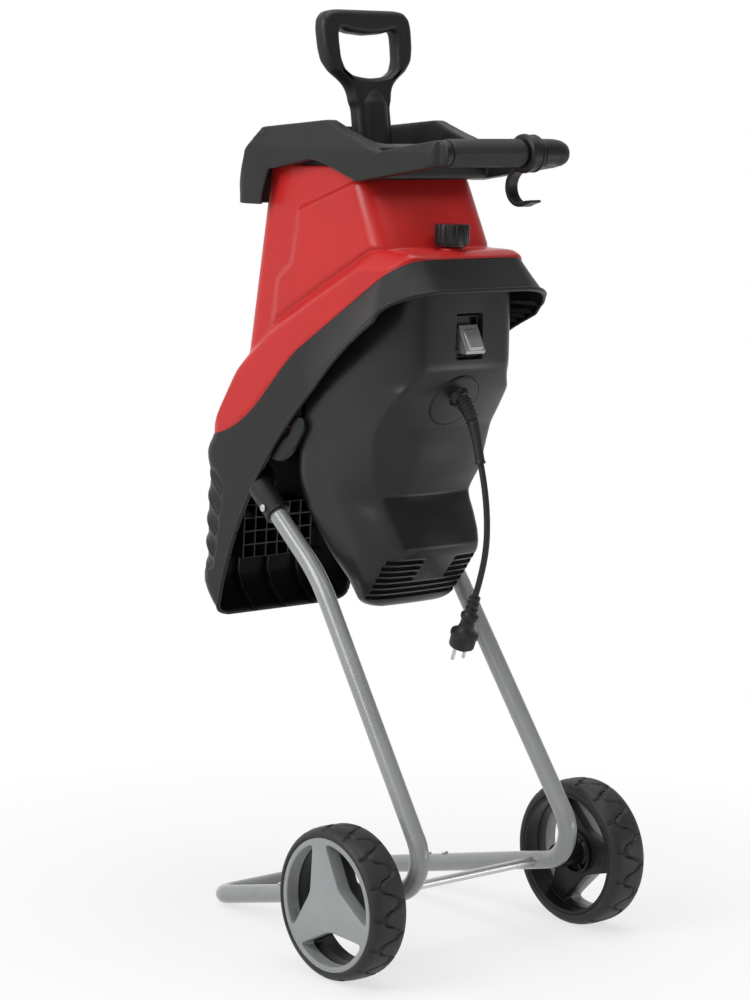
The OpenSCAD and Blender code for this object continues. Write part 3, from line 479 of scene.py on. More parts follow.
DECK = math.radians(32)
DECK_SLOPE = math.tan(DECK)
DECK_COS = math.cos(DECK)
DECK_SIN = math.sin(DECK)
SPLIT_Z = 821
REAR_Y = -152
REAR_R = 42
FRONT_R = 30
HOOD_HW = 118
RING = (64, 32, 9)
TOWER_TOP = (92, -45, 154, 24, 17)
TOWER_FOOT = (101, -215, 210, REAR_R, FRONT_R)
SHOULDER_EDGE = (HOOD_HW, REAR_Y, 253, REAR_R, FRONT_R)
FEED_LIP = (88, -41, 150, 20, 13)
TOWER_ROWS = 56
SHOULDER_ROWS = 14
EDGE_ROWS = 8
EDGE_GAP = 0.5
EDGE_H = 2
HOPPER_WALL = 3.6
TOWER_Z = 1030
FOOT_Z = 700
SPLIT_BEND = 48
SPLIT_CURVE = [tuple(p) for p in bezier(Vector((SPLIT_BEND, 791)), Vector((112, 751)), Vector((150, 662)),
                                        Vector((257, 653)), 24)]
SHOULDER = [(-152, 919), (-138, 926), (-70, 926), (20, 879), (119, 825), (186, 772), (234, 700), (253, 655)]
BEVEL_X = 94
PANEL_FRONT = [(700, 135), (807, 129), (879, 120), (899, 92), (965, 81), (1030, 70)]
PANEL_TOP = [(-60, 1021), (70, 976), (120, 958)]
PANEL_RISE = 6.5
KNOB_AT = Vector((0, -118, 926))
KNOB_GAP = 4.0
SEAT = [(4.2, -6), (4.2, KNOB_GAP), (14, KNOB_GAP), (15, KNOB_GAP - 0.8), (16.5, -1), (16.5, -6)]
FLOOR_Y = (76, 244)
FLOOR_ROWS = 24
FLOOR_T = 3
FLOOR_HW = 111
CORNER_R = 30
CORNER_Y = 219
FLOOR_RISE = 6
LIP_Z = (1045, 1040, 1025, 1010)
LIP_T = 2.5


def split_at(y):
    """Height of the parting line of hopper and hood: straight along the deck, then an S to the hinge."""
    if y <= SPLIT_BEND:
        return SPLIT_Z - DECK_SLOPE * y
    return along(SPLIT_CURVE, y)


def shoulder_z(x, y):
    return along(SHOULDER, y) - max(0.0, abs(x) - BEVEL_X)


def panel_rise(y, z):
    """Height of the raised panel on the tower sides."""
    behind = (along(PANEL_FRONT, z) - y) * 0.95
    under = (along(PANEL_TOP, y) - z) * 0.94
    return PANEL_RISE * ease(min(behind, under) / 8 + 0.5)


def hopper_line(top, foot, edge):
    """Points from the tower top over the fold and shoulder to the parting line, at one place round it."""
    def tower(z):
        t = (TOWER_Z - z) / (TOWER_Z - FOOT_Z)
        return lerp(top[0], foot[0], t), lerp(top[1], foot[1], t)
    low, high = FOOT_Z, TOWER_Z
    for _ in range(24):
        z = (low + high) / 2
        if z > shoulder_z(*tower(z)):
            high = z
        else:
            low = z
    fold = Vector((*tower(high), high))
    line = []
    for i in range(TOWER_ROWS):
        z = lerp(TOWER_Z, high, i / TOWER_ROWS)
        x, y = tower(z)
        line.append(Vector((x + math.copysign(panel_rise(y, z) * abs(top[2]), x), y, z)))
    x, y = edge[:2]
    base = split_at(y) + EDGE_GAP
    for i in range(SHOULDER_ROWS):
        flat = fold.lerp(Vector((x, y, 0)), i / SHOULDER_ROWS)
        line.append(Vector((flat.x, flat.y, max(shoulder_z(flat.x, flat.y), base + EDGE_H))))
    edge_z = max(shoulder_z(x, y), base + EDGE_H)
    for i in range(EDGE_ROWS + 1):
        line.append(Vector((x, y, lerp(edge_z, base, i / EDGE_ROWS))))
    return line


def add_hopper():
    plans = [ring(*size, RING) for size in (TOWER_TOP, TOWER_FOOT, SHOULDER_EDGE)]
    lines = [hopper_line(*three) for three in zip(*plans)]
    rows = soften([list(row) for row in zip(*lines)], 3)
    thicken(piece("hopper_skin", *grid(rows), "hopper_unit", RED, ["hopper"], sharp=60), HOPPER_WALL)
    seat = lathe(SEAT, lambda a, b, h: KNOB_AT + Vector((a, b, h)), 40)
    piece("knob_seat", *seat, "hopper_unit", RED, solid=True)
    # A floor sheet across the front of the hopper in the darker black: painted shade over the hollow inside.
    shelf = []
    for i in range(FLOOR_ROWS + 1):
        y = lerp(*FLOOR_Y, i / FLOOR_ROWS)
        hw = FLOOR_HW + (math.sqrt(CORNER_R ** 2 - max(0.0, y - CORNER_Y) ** 2) - CORNER_R)
        shelf.append([Vector((s * hw, y, split_at(y) + FLOOR_RISE)) for s in (1, 0.5, 0, -0.5, -1)])
    thicken(piece("hopper_shade_floor", *grid(shelf, closed=False), "hopper_unit", SHADE_BLACK), FLOOR_T)
    lip = [[Vector((p[0], p[1], z)) for p in ring(*FEED_LIP, RING)] for z in LIP_Z]
    thicken(piece("feed_lip", *grid(lip), "hopper_unit", BLACK), LIP_T)


# Hood: wall from the parting line to the rim, flaring round the rear

HOOD_WALL = 4
FRONT_Y = 272
BLEND_Y = 180
BLEND = 62
RIM = [(-197, 884), (-164, 872), (-146, 862)]
CHUTE = [(393, 212), (399.4, 222), (410, 240), (420, 252), (430, 261), (440, 268), (449, 272.5), (459, 273),
         (465, 270.5), (509, 271), (541, 269), (583, 266), (609, 262), (620, 266), (631, 267), (641, 263),
         (649, 257), (655, 254)]
RIM_LOW = [(217, 440), (221, 424), (225, 411), (229, 403), (234, 401), (FRONT_Y, 400)]
RIM_CURVE = (RIM_LOW[0], (166, 622), (13, 768), (-128, 838))
FLARE = 26
REAR_FLARE = 9
FLARE_H = 46
HOOD_RING = (120, 32, 14)
HOOD_ROWS = 84
LOUVRE_EDGE = [(463, 251), (470, 235), (500, 228), (537, 224), (573, 217), (583, 215), (609, 244)]
LOUVRE_Z = (463, 609)
LOUVRE_AT = (232, 470)
LOUVRE_PITCH = 33
LOUVRE_SLOPE = 0.8
LOUVRE_DEPTH = 5.0
LOUVRE_X = 72


def rim_line():
    curve = bezier(*(Vector(point) for point in RIM_CURVE), 40)
    return RIM + [tuple(p) for p in reversed(curve)] + RIM_LOW[1:]


def louvre(y, z):
    """Depth of the sunk panel at the front corners and of the slanting marks in it."""
    inside = ease((y - along(LOUVRE_EDGE, z)) / 4) * ease((z - LOUVRE_Z[0]) / 5)
    inside *= ease((LOUVRE_Z[1] - z) / 5)
    place = ((z - LOUVRE_SLOPE * (y - LOUVRE_AT[0]) - LOUVRE_AT[1]) / LOUVRE_PITCH) % 1
    bar = ease((place - 0.1) / 0.12) * ease((0.5 - place) / 0.12)
    return LOUVRE_DEPTH * inside * (1 - 0.8 * bar)


def hood_line(place, rim, count):
    """Points down the wall from the parting line to the rim. At the rear it stands square to the deck."""
    x, y, nx, ny = place

    def front(z):
        return y + (along(CHUTE, z) - FRONT_Y) * ease((y - BLEND_Y) / BLEND)
    top = split_at(front(CHUTE[-1][0]))
    square = 1 - ease((y - 20) / 100)
    back, down = DECK_SIN * square, lerp(1, DECK_COS, square)
    far = 0.0
    while top - down * far > along(rim, min(y - back * far, front(top - down * far))) and far < 400:
        far += 0.5
    reach = clamp((60 - y / DECK_COS) / 180) if ny >= 0 else 1
    out = (REAR_FLARE + (FLARE - REAR_FLARE) * abs(nx) ** 3) * reach
    line = []
    for i in range(count + 1):
        t = far * i / count
        z = top - down * t
        flare = out * clamp(t / FLARE_H)
        deep = louvre(y, z) * ease((abs(x) - LOUVRE_X) / 14) if y > 200 else 0.0
        out_y = y - back * t + ny * (flare * DECK_COS - deep)
        line.append(Vector((x + nx * (flare - deep), min(out_y, front(z)), z)))
    return line


def tube(path, radii, count=10):
    """A closed tube along points, its rings square to the path."""
    rows = []
    for i, point in enumerate(path):
        ahead = (path[min(i + 1, len(path) - 1)] - path[max(i - 1, 0)]).normalized()
        side = ahead.cross(Vector((0, 0, 1)) if abs(ahead.z) < 0.9 else Vector((1, 0, 0))).normalized()
        over = side.cross(ahead)
        r = radii[i] if isinstance(radii, list) else radii
        turns = [2 * math.pi * k / count for k in range(count)]
        rows.append([point + side * (r * math.cos(a)) + over * (r * math.sin(a)) for a in turns])
    return rows


SOCKET_AT = (114.6, 87.4, 555.7)
SOCKET_ALONG = (-0.028, 0.791, 0.611)
SOCKET = [(12.7, 8), (16.2, 8), (17.4, 9), (17.4, 13), (16.6, 14.5), (16.8, 58), (15.5, 63), (12.7, 64)]
SCREW_H = 22
SCREW_SEAT = [(5.4, 12.8), (8.5, 12.8), (8.2, 15.6), (7.6, 16.2), (5.4, 16.2)]
ROOT_H = (48, 100)
ROOT_IN = 17
ROOT_R = [15.5] * 9 + [13, 8]
LEVER = [(47.7, 696), (43.2, 683), (59.7, 658.7), (78.6, 641.8), (95.6, 631.8), (115.2, 633.8),
         (122, 645.3), (113.5, 658.5), (94.2, 664), (80, 667), (73, 677.5), (86, 689), (64.7, 698)]
LEVER_X = 104
LEVER_T = 8


def socket(side):
    """The sleeve that holds a leg, with a seat for its screw and its root in the hood."""
    axis = Vector((SOCKET_ALONG[0] * side, *SOCKET_ALONG[1:])).normalized()
    level = Vector((0, -axis.z, axis.y)).normalized()
    over = axis.cross(level)
    base = Vector((SOCKET_AT[0] * side, *SOCKET_AT[1:]))
    sleeve = lathe(SOCKET, lambda a, b, h: base + axis * h + level * a + over * b, 40)
    out = Vector((side, 0, 0))

    def at(a, b, h):
        return base + axis * SCREW_H + out * h + Vector((0, a, b))
    rim = lathe(SCREW_SEAT, at, 28)
    root = [base + axis * lerp(*ROOT_H, i / 10) - out * ROOT_IN * ease(i / 6) for i in range(11)]
    return join(sleeve, rim, capped(tube(root, ROOT_R, 24)))


HINGE_Y = 265
HINGE_Z = 660
EYES = (57, 71)
MIDDLE_EYE = 55
EYE_STRAP = [(6, 0), (5.5, -10), (1, -22), (-7, -22), (-9, -8), (-6, 0)]
MIDDLE_STRAP = [(6, 0), (3, 6.5), (-15, 17), (-19, 14), (-12, 1), (-6, -3)]


def knuckle(x0, x1, strap):
    """A hinge eye between two places, with a strap to the wall it stands on."""
    def at(a, b, h):
        return Vector((h, HINGE_Y + a, HINGE_Z + b))
    section = [(3.1, x0), (6.4, x0), (7.2, x0 + 0.8), (7.2, x1 - 0.8), (6.4, x1), (3.1, x1)]
    eye = lathe(section, at, 32)
    return join(eye, capped([[at(a, b, x) for a, b in strap] for x in (x0 + 0.6, x1 - 0.6)]))


PLATE_HW = 108
PLATE_Y = (-160, 84)
PLATE_R = (34, 12)
PLATE_LOW = -22
PLATE_T = 6
SHAFT_HOLE_R = 14
SHAFT_Y = -60


def add_plate():
    """The plate under the rotor, kept inside the skin of the hood."""
    def at(x, y, h):
        h += PLATE_LOW
        return Vector((x, y * DECK_COS + h * DECK_SIN, SPLIT_Z - y * DECK_SIN + h * DECK_COS))
    outline = [(p[0], p[1]) for p in ring(PLATE_HW, *PLATE_Y, *PLATE_R, (12, 8, 8))]
    hole = circle(SHAFT_HOLE_R, 32, (0, SHAFT_Y))
    deck = plate([outline, hole], PLATE_T, 0.8, at)
    piece("mid_plate_skin", *deck, "base", DULL, ["mid_plate"], solid=True)


RIB_PLACES = 2 * HOOD_RING[0] + HOOD_RING[1] + 4 * HOOD_RING[2]
RIB_HALF = 0.8
RIB_END_Y = 20
RIB_REAR_Y = -166
CHUTE_RIB_X = (-52, 0, 52)
CHUTE_RIB_Z = (404, 430, 455, 478)
CHUTE_RIB_DEPTH = 9
CHUTE_RIB_HALF = 1.2
BEAD_R = 3.0


def slab(corners, half):
    """A flat outline of points with the same thickness on both sides."""
    return capped([[c + half for c in corners], [c - half for c in corners]])


def hood_ribs(plan, rows):
    """Ribs inside the flared rim, at every fourth place up to part of the rear, and three in the chute."""
    ribs = []
    for number in range(RIB_PLACES):
        x, y, nx, ny = plan[number]
        if y > RIB_END_Y or number % 4:
            continue
        inner_x, inner_y = 0.86 * x, max(y, RIB_REAR_Y) * 0.93
        inset = Vector((nx, ny, 0)) * (HOOD_WALL - 0.5)
        low, high = rows[-3][number] - inset, rows[-16][number] - inset
        corners = [low, Vector((inner_x, inner_y, low.z + 4)), Vector((inner_x, inner_y, high.z)), high]
        ribs.append(slab(corners, Vector((-ny, nx, 0)) * RIB_HALF))
    for x in CHUTE_RIB_X:
        front = [Vector((x, along(CHUTE, z) - HOOD_WALL + 0.6, z)) for z in CHUTE_RIB_Z]
        rear = [point - Vector((0, CHUTE_RIB_DEPTH, 0)) for point in reversed(front)]
        ribs.append(slab(front + rear, Vector((CHUTE_RIB_HALF, 0, 0))))
    return join(*ribs)


def add_hood():
    rim = rim_line()
    plan = ring(HOOD_HW, REAR_Y, FRONT_Y, REAR_R, FRONT_R, HOOD_RING)
    lines = [hood_line(place, rim, HOOD_ROWS) for place in plan]
    rows = soften([list(row) for row in zip(*lines)], 1)
    skin = piece("hood_skin", *grid(rows), "base", BLACK, ["hood"], sharp=50)
    # The inner face of the hood wall takes the darker black: painted shade inside the hood.
    skin.data.materials.append(SHADE_BLACK)
    thicken(skin, HOOD_WALL).material_offset = 1
    bead = [p.lerp(Vector((0, p.y, p.z)), 0.012) + Vector((0, 0, 1.0)) for p in rows[-1]]
    bead_rows = tube(bead + bead[:1], BEAD_R)[:-1]
    piece("hood_rim_bead", *grid(bead_rows, looped=True), "base", BLACK, solid=True)
    piece("hood_ribs", *hood_ribs(plan, rows), "base", BLACK, solid=True)
    near, far = EYES
    eyes = join(knuckle(-far, -near, EYE_STRAP), knuckle(near, far, EYE_STRAP))
    piece("hinge_eyes", *eyes, "base", BLACK, solid=True)
    middle = knuckle(-MIDDLE_EYE, MIDDLE_EYE, MIDDLE_STRAP)
    piece("hinge_eye_middle", *middle, "hopper_unit", RED, solid=True)
    piece("leg_sockets", *join(socket(-1), socket(1)), "base", BLACK, solid=True)
    lever = smooth_loop(LEVER, 8)
    hooks = [plate([lever], LEVER_T, 2, lambda y, z, x, s=s: Vector((s * (LEVER_X + x), y, z)))
             for s in (-1, 1)]
    piece("bag_levers", *join(*hooks), "base", BLACK, ["bag_hooks"], solid=True)


# Motor cover: rows of plan outlines round the rear face, the crease beside it, the flank and the front

COVER_PLAN = [
    (449, 46, -46, -48, 52, -26), (450.5, 56, -49, -53, 62, -24), (454, 64, -53, -58, 71, -24),
    (460, 67, -57, -62, 78, -25), (488, 67, -79, -85, 88, -4), (517, 66.5, -102, -109, 95, 24),
    (524, 65, -108, -115, 96, 30), (534, 64, -111, -119, 97, 38), (550, 68, -105, -115, 99, 50),
    (572, 72.5, -92, -104, 102, 64), (590, 73.5, -82, -93, 103, 72), (601, 75, -78, -88, 104, 76),
    (612, 82, -78, -92, 104, 80), (628, 92, -80, -98, 104, 82), (646, 97, -82, -102, 104, 82),
    (670, 100, -86, -106, 104, 82), (692, 101, -92, -111, 104, 80), (715, 100, -108, -124, 104, 76),
    (744, 93, -132, -142, 104, 72), (760, 80, -143, -151, 104, 72), (770, 71, -149, -156, 104, 72),
    (778, 69, -150, -157, 104, 72), (900, 69, -150, -157, 104, 72)]
COVER_HALF = (18, 18, 10, 8)
CREASE = [(440, 0.8), (601, 1.0), (744, 0.9), (772, 0.1), (780, 0.0)]
COVER_FOOT = [449, 450, 452, 456, 460]
COVER_BAND = 730
COVER_TOP = 795
BAND_ROWS = 64
TOP_ROWS = 35
VENT_Z = 462
VENT_H = 4.6
VENT_STEP = 8.6
VENT_N = 7
VENT_SINK = 6
VENT_HW = 78
VENT_REAR = [(450, -40), (530, -92)]
VENT_GAP_HW = 27
VENT_GAP_FROM = 3


def cover_half(z):
    """Plan points of one half of the cover at a height, from the rear middle to the front middle."""
    xc, yr, yc, xs, yf = (along([(row[0], row[i]) for row in COVER_PLAN], z) for i in range(1, 6))
    rear, flank, side, front = COVER_HALF
    points = []
    for i in range(rear):
        t = i / rear
        points.append((xc * t, lerp(yc, yr, t * t)))
    ys = lerp(yr, yf, 0.42)
    crease = along(CREASE, z)
    tangent = yr + 2 * (yr - yc) / xc * (xs - xc)
    hold = (lerp(xs, lerp(xc, xs, 0.85), crease), lerp(tangent, lerp(yr, ys, 0.4), crease))
    for i in range(flank):
        t = i / flank
        points.append(tuple((1 - t) ** 2 * a + 2 * t * (1 - t) * b + t * t * c
                            for a, b, c in zip((xc, yr), hold, (xs, ys))))
    bend = min(26, (yf - ys) * 0.6)
    for i in range(side):
        points.append((xs, lerp(ys, yf - bend, i / side)))
    for i in range(front + 1):
        a = math.pi / 2 * min(1, i / (front / 2))
        if i <= front / 2:
            points.append((xs - bend + bend * math.cos(a), yf - bend + bend * math.sin(a)))
        else:
            points.append((lerp(xs - bend, 0, (i - front / 2) / (front / 2)), yf))
    return points


def cover_row(z_at):
    """A closed row of points, its height at each point given by z_at(y)."""
    count = len(cover_half(600))
    half = []
    for k in range(count):
        z = z_at(0)
        for _ in range(4):
            z = z_at(cover_half(z)[k][1])
        x, y = cover_half(z)[k]
        half.append(Vector((x, y, z)))
    return half + [Vector((-p.x, p.y, p.z)) for p in reversed(half[1:-1])]


def cover_rows():
    heights = list(COVER_FOOT)
    for i in range(VENT_N):
        low = VENT_Z + VENT_STEP * i
        heights += [low - 0.4, low + 0.4, low + VENT_H - 0.4, low + VENT_H + 0.4]
    start = VENT_Z + VENT_STEP * VENT_N
    heights += [lerp(start, COVER_BAND, i / BAND_ROWS) for i in range(BAND_ROWS + 1)]
    rows = [cover_row(lambda y, z=z: z) for z in heights]
    for i in range(1, TOP_ROWS + 1):
        rows.append(cover_row(lambda y, t=i / TOP_ROWS: lerp(COVER_BAND, COVER_TOP - DECK_SLOPE * y, t)))
    return list(reversed(rows))


def is_vent(point):
    step = (point.z - VENT_Z) / VENT_STEP
    if not (0 <= step < VENT_N and 0.02 < (step % 1) * VENT_STEP < VENT_H - 0.02):
        return False
    if abs(point.x) >= VENT_HW or point.y >= along(VENT_REAR, point.z):
        return False
    return step < VENT_GAP_FROM or abs(point.x) > VENT_GAP_HW


POCKET_HW = 20
POCKET_Z = (788, 845)
POCKET_Y = -140
POCKET_DEPTH = 13
ROCKER_AT = Vector((0, -153, 809))
ROCKER_HW = 16
PAD_HW = 11
SWITCH_FRAME = ((19, 789, 843, 2), (16.8, 791, 841, 1))
SWITCH_FRAME_Y = -151
SWITCH_FRAME_T = 6
ROCKER = [(-17, -11), (-15, -15), (-6, -15), (4, -10), (6, 10), (2, 21), (0.5, 22)]
ROCKER_PAD = [(-18.6, -6), (-16.5, -9.5), (-10, -9.5), (-2, 17), (-3.4, 15)]


def in_pocket(point):
    return abs(point.x) < POCKET_HW and POCKET_Z[0] < point.z < POCKET_Z[1] and point.y < POCKET_Y


def add_switch():
    """A sloping rocker with a raised pad, and the frame it tilts in at the bottom of its pocket."""
    def block(hw, profile):
        return capped([[ROCKER_AT + Vector((x, y, z)) for y, z in profile] for x in (-hw, hw)])
    rocker = join(block(ROCKER_HW, ROCKER), block(PAD_HW, ROCKER_PAD))
    round_edges(piece("rocker_skin", *rocker, "switch_rocker", SILVER, ["rocker"], solid=True), 1.2)
    boxes = [corner_box(*size) for size in SWITCH_FRAME]
    border = plate(boxes, SWITCH_FRAME_T, 0.8, lambda x, z, h: Vector((x, SWITCH_FRAME_Y + h, z)))
    piece("switch_frame_skin", *border, "base", DARK, ["switch_frame"], solid=True)


def add_cover():
    rows = soften(cover_rows(), 2)
    for row in rows:
        for point in row:
            if is_vent(point):
                point += Vector((-0.25 * point.x, -point.y, 0)).normalized() * VENT_SINK
            elif in_pocket(point):
                point.y += POCKET_DEPTH
    piece("motor_cover_skin", *capped(rows), "base", DARK, ["motor_cover"], sharp=50)


# Gland and strain relief

GLAND = Vector((0, -137.5, 736))
GLAND_TILT = math.atan2(39, 64)
GLAND_OUT = Vector((0, -math.cos(GLAND_TILT), -math.sin(GLAND_TILT)))
GLAND_UP = Vector((0, -math.sin(GLAND_TILT), math.cos(GLAND_TILT)))
DISC_R = 37
DISC_AT = (-3, -7)
SLOPE_BOW = 0.0016
GLAND_COLLAR = [(5, 0), (5, 9), (10.5, 9), (12.5, 7.5), (15, 1.2), (15, 0)]
SLEEVE_HOLD = Vector((0, -171, 694))
SLEEVE_ROWS = 60
SLEEVE_R = (10.2, 6.0)
SLEEVE_END_R = 6.8
RIBBED = (0.12, 0.5)
RIBBED_PITCH = 0.0633
RIBBED_H = 0.9


def sleeve_r(t):
    """Radius of the strain relief at a share of its length: tapered, ribbed, with a bead at its end."""
    if t >= 0.97:
        return SLEEVE_END_R
    r = lerp(*SLEEVE_R, ease(t * 1.1))
    if RIBBED[0] < t < RIBBED[1]:
        r += RIBBED_H * (1 if math.sin(2 * math.pi * (t - RIBBED[0]) / RIBBED_PITCH) > 0 else -1)
    return r


def add_gland():
    def at(a, b, h):
        return GLAND + Vector((a, 0, 0)) + GLAND_UP * b + GLAND_OUT * h

    def on_slope(a, b, h):
        a, b = a + DISC_AT[0], b + DISC_AT[1]
        return at(a, b, h - SLOPE_BOW * a * a)
    face = [(DISC_R * i / 8, 1.2) for i in range(1, 9)]
    disc = lathe([(0.5, -5), (0.5, 1.2)] + face + [(DISC_R + 0.6, 0.6), (DISC_R + 0.6, -5)], on_slope, 72)
    border = [(DISC_R + 1.3, -6), (DISC_R + 1.3, 1.0), (DISC_R + 2.6, 0.5), (DISC_R + 2.6, -6)]
    collar = lathe(GLAND_COLLAR, at, 40)
    gland = join(disc, lathe(border, on_slope, 72), collar)
    piece("gland_disc", *gland, "base", DARK, ["gland_plate"], solid=True)
    path = bezier(GLAND + GLAND_OUT * 3, GLAND + GLAND_OUT * 34, SLEEVE_HOLD, SLEEVE_END, SLEEVE_ROWS)
    sleeve = capped(tube(path, [sleeve_r(i / SLEEVE_ROWS) for i in range(SLEEVE_ROWS + 1)], 24))
    return piece("strain_relief_skin", *sleeve, "base", CABLE, ["strain_relief"], sharp=50, solid=True)


# Plunger: a closed handle, its stem and the two plates on it, along the feed direction

FEED_Y = 40
FEED_TILT = math.radians(9)
HANDLE = [(50, 207), (66, 205), (75, 196), (77.5, 182), (76.5, 156), (73, 139), (62, 125), (46, 114),
          (37, 105), (33, 95), (32, 84), (28.5, 78), (28.5, -180)]
HANDLE_EYE = [(0, 174), (30, 176.5), (45, 181), (49, 178), (49.5, 164), (48.5, 142), (43, 128), (31, 120),
              (15, 117), (0, 116)]
HANDLE_T = 25
HANDLE_EDGE = 8.5
STEM = (27.6, 18.5)
STEM_ROWS = [(112, 0.45), (104, 0.64), (96, 0.78), (90, 0.87), (86, 0.93), (84, 0.97), (82, 0.99), (80, 1),
             (-178, 1)]
STEM_SIDES = 40
FLANGE = (54, 0, 80, 8)
FLANGE_T = 4
FLANGE_GAP = 0.5
FOLLOWER = (43.5, -27.5, 27.5, 6)
FOLLOWER_T = 5
FOLLOWER_LOW = 180


def feed(x, y, z):
    cos, sin = math.cos(FEED_TILT), math.sin(FEED_TILT)
    return Vector((x, FEED_Y + y * cos + z * sin, TOWER_Z - y * sin + z * cos))


def both_halves(half):
    """A closed outline from its right half, which runs from the top down."""
    return half + [(-x, y) for x, y in reversed(half) if x > 0]


def add_plunger():
    outline = smooth_loop(both_halves(HANDLE), 6)
    eye = smooth_loop(both_halves(HANDLE_EYE), 5)
    handle = plate([outline, eye], HANDLE_T, HANDLE_EDGE, lambda x, z, h: feed(x, h - HANDLE_T / 2, z), 5)
    turns = [2 * math.pi * k / STEM_SIDES for k in range(STEM_SIDES)]
    rows = [[feed(STEM[0] * share * math.cos(a), STEM[1] * share * math.sin(a), z) for a in turns]
            for z, share in STEM_ROWS]
    flange = plate([corner_box(*FLANGE)], FLANGE_T, 1,
                   lambda x, y, h: Vector((x, y, TOWER_Z + FLANGE_GAP + h)))
    follower = plate([corner_box(*FOLLOWER)], FOLLOWER_T, 1, lambda x, y, h: feed(x, y, h - FOLLOWER_LOW))
    whole = join(handle, capped(rows), flange, follower)
    piece("plunger_skin", *whole, "plunger_unit", BLACK, ["plunger"], sharp=45, solid=True)


# Handle bar: ribbed grip, rounded end, and the hook that turns on it

BAR_Y = -207
BAR_Z = 1053
GRIP_X = (-92, 33)
GRIP_ROWS = 96
GRIP_R = 17.2
STIPPLE_STEP = 4.4
STIPPLE_FROM = -60
HOOK_X = 48
HOOK_HALF = 9
HOOK_AT = (-200, 1010)
HOOK_R = 22.7
HOOK_T = 5.5
HOOK_TURN = (112, -120)
HOOK_ROWS = 40
HOOK_CLIP = [(16.4, -12), (22, -12), (25, -10), (25.5, -5), (23, -3.5), (23, 6), (24.5, 7), (24.5, 10),
             (16.4, 10)]
END_ROWS = 60
END_FLAT = (72, 105)
END = [(58, 16.6), (64, 17.4), (66, 19), (80, 19), (92, 18.6), (102, 17), (109, 14), (113, 9.5), (114.4, 4)]


def bar(a, b, x):
    return Vector((x, BAR_Y + a, BAR_Z + b))


def grip_r(x, a):
    """Radius of the grip: fuller on its upper side and stippled there."""
    up = math.sin(a)
    ends = ease((x - GRIP_X[0]) / 3) * ease((GRIP_X[1] - x) / 3)
    stipple = math.sin(2 * math.pi * x / STIPPLE_STEP) * math.sin(18 * a)
    r = GRIP_R + 1.5 * ends * ease((up + 0.12) / 0.1)
    return r + 0.5 * stipple * ease((x - STIPPLE_FROM) / 20) * ends * ease((up - 0.1) / 0.1)


def end_r(x, a):
    """Radius of the rounded end of the bar, with a flat on its lower rear side."""
    low = ease((-math.sin(a) - 0.15) / 0.15) * ease((-math.cos(a) + 0.2) / 0.3)
    return along(END, x) - 4 * low * ease((x - END_FLAT[0]) / 2) * ease((END_FLAT[1] - x) / 3)


def turned(start, end, steps, radius, count):
    """A closed form round the bar, its radius given by radius(x, angle)."""
    turns = [2 * math.pi * k / count for k in range(count)]
    rows = []
    for i in range(steps + 1):
        x = lerp(start, end, i / steps)
        rows.append([bar(radius(x, a) * math.cos(a), radius(x, a) * math.sin(a), x) for a in turns])
    return capped(rows)


def add_bar():
    grip = turned(*GRIP_X, GRIP_ROWS, grip_r, 72)
    piece("grip_skin", *grip, "hopper_unit", GRIP, ["handle_grip"], sharp=60, solid=True)
    end = turned(END[0][0], END[-1][0], END_ROWS, end_r, 48)
    piece("bar_end", *end, "hopper_unit", BLACK, sharp=50, solid=True)
    clip = lathe([(r, HOOK_X + x) for r, x in HOOK_CLIP], bar, 56)
    half = HOOK_T / 2
    path = []
    for i in range(HOOK_ROWS + 1):
        a = math.radians(lerp(*HOOK_TURN, i / HOOK_ROWS))
        path.append((HOOK_AT[0] + HOOK_R * math.cos(a), HOOK_AT[1] + HOOK_R * math.sin(a), a, half))
    y, z = path[-1][:2]
    for i in range(1, 6):
        path.append((y - 2.6 * i, z + 0.5 * i, math.radians(-94), lerp(half, 1.6, i / 5)))
    rows = []
    side = Vector((HOOK_HALF, 0, 0))
    for y, z, a, half in path:
        n = Vector((0, math.cos(a), math.sin(a))) * half
        middle = Vector((HOOK_X, y, z))
        rows.append([middle + n + side, middle - n + side, middle - n - side, middle + n - side])
    made = piece("hook_skin", *join(clip, capped(rows)), "hook", BLACK, ["cable_hook"], sharp=40, solid=True)
    edge = made.modifiers.new("edges", "BEVEL")
    edge.width = 0.9 * MM
    edge.segments = 2
    edge.limit_method = "ANGLE"


# Collar: the solid's own form with its edges eased, and a backing at each front top corner, where it opens

COLLAR_VOXEL = 1.7
COLLAR_ROUNDS = 12
BACK_AT = (109.4, 143.8, 1069.3)
BACK = [(0.3, -5), (6, -5), (6, 0), (5, 0.6), (0.3, 1)]


def soften_collar():
    collar = NODES["collar"]
    weld(collar)
    fine = collar.modifiers.new("fine", "REMESH")
    fine.mode = "VOXEL"
    fine.voxel_size = COLLAR_VOXEL * MM
    fine.use_smooth_shade = True
    eased = collar.modifiers.new("eased", "SMOOTH")
    eased.factor = 0.5
    eased.iterations = COLLAR_ROUNDS

    def back(side):
        x, y, z = BACK_AT
        return lathe(BACK, lambda a, b, h: Vector((side * (x + h), y + a, z + b)), 28)
    piece("collar_corner_backs", *join(back(-1), back(1)), "hopper_unit", BLACK, solid=True)


# Plug at the end of the cord

PLUG = [(3.6, 0), (7.4, 0), (7.6, 4), (6.2, 5), (6.2, 7.5), (8, 8.5), (8, 12), (6.6, 13), (6.6, 15.5),
        (8.6, 16.5), (8.6, 20), (7.6, 21.5), (9, 24.5), (12, 26.5), (12, 31), (9.8, 34), (10, 41), (11.5, 47),
        (15, 51), (18.6, 52.5), (19, 54), (19, 57.5), (17.4, 59), (17, 72), (16, 74), (3.6, 74)]
PLUG_FLAT_H = 58
PLUG_FLAT = 14.5


def add_plug():
    across = Vector((0, math.cos(PLUG_LEAN), math.sin(PLUG_LEAN)))

    def at(a, b, h):
        if h > PLUG_FLAT_H:
            b = clamp(b, -PLUG_FLAT, PLUG_FLAT)
        return PLUG_TOP + PLUG_AXIS * h + Vector((a, 0, 0)) + across * b
    return piece("plug_skin", *lathe(PLUG, at, 48), "base", CABLE, ["plug_body"], solid=True)


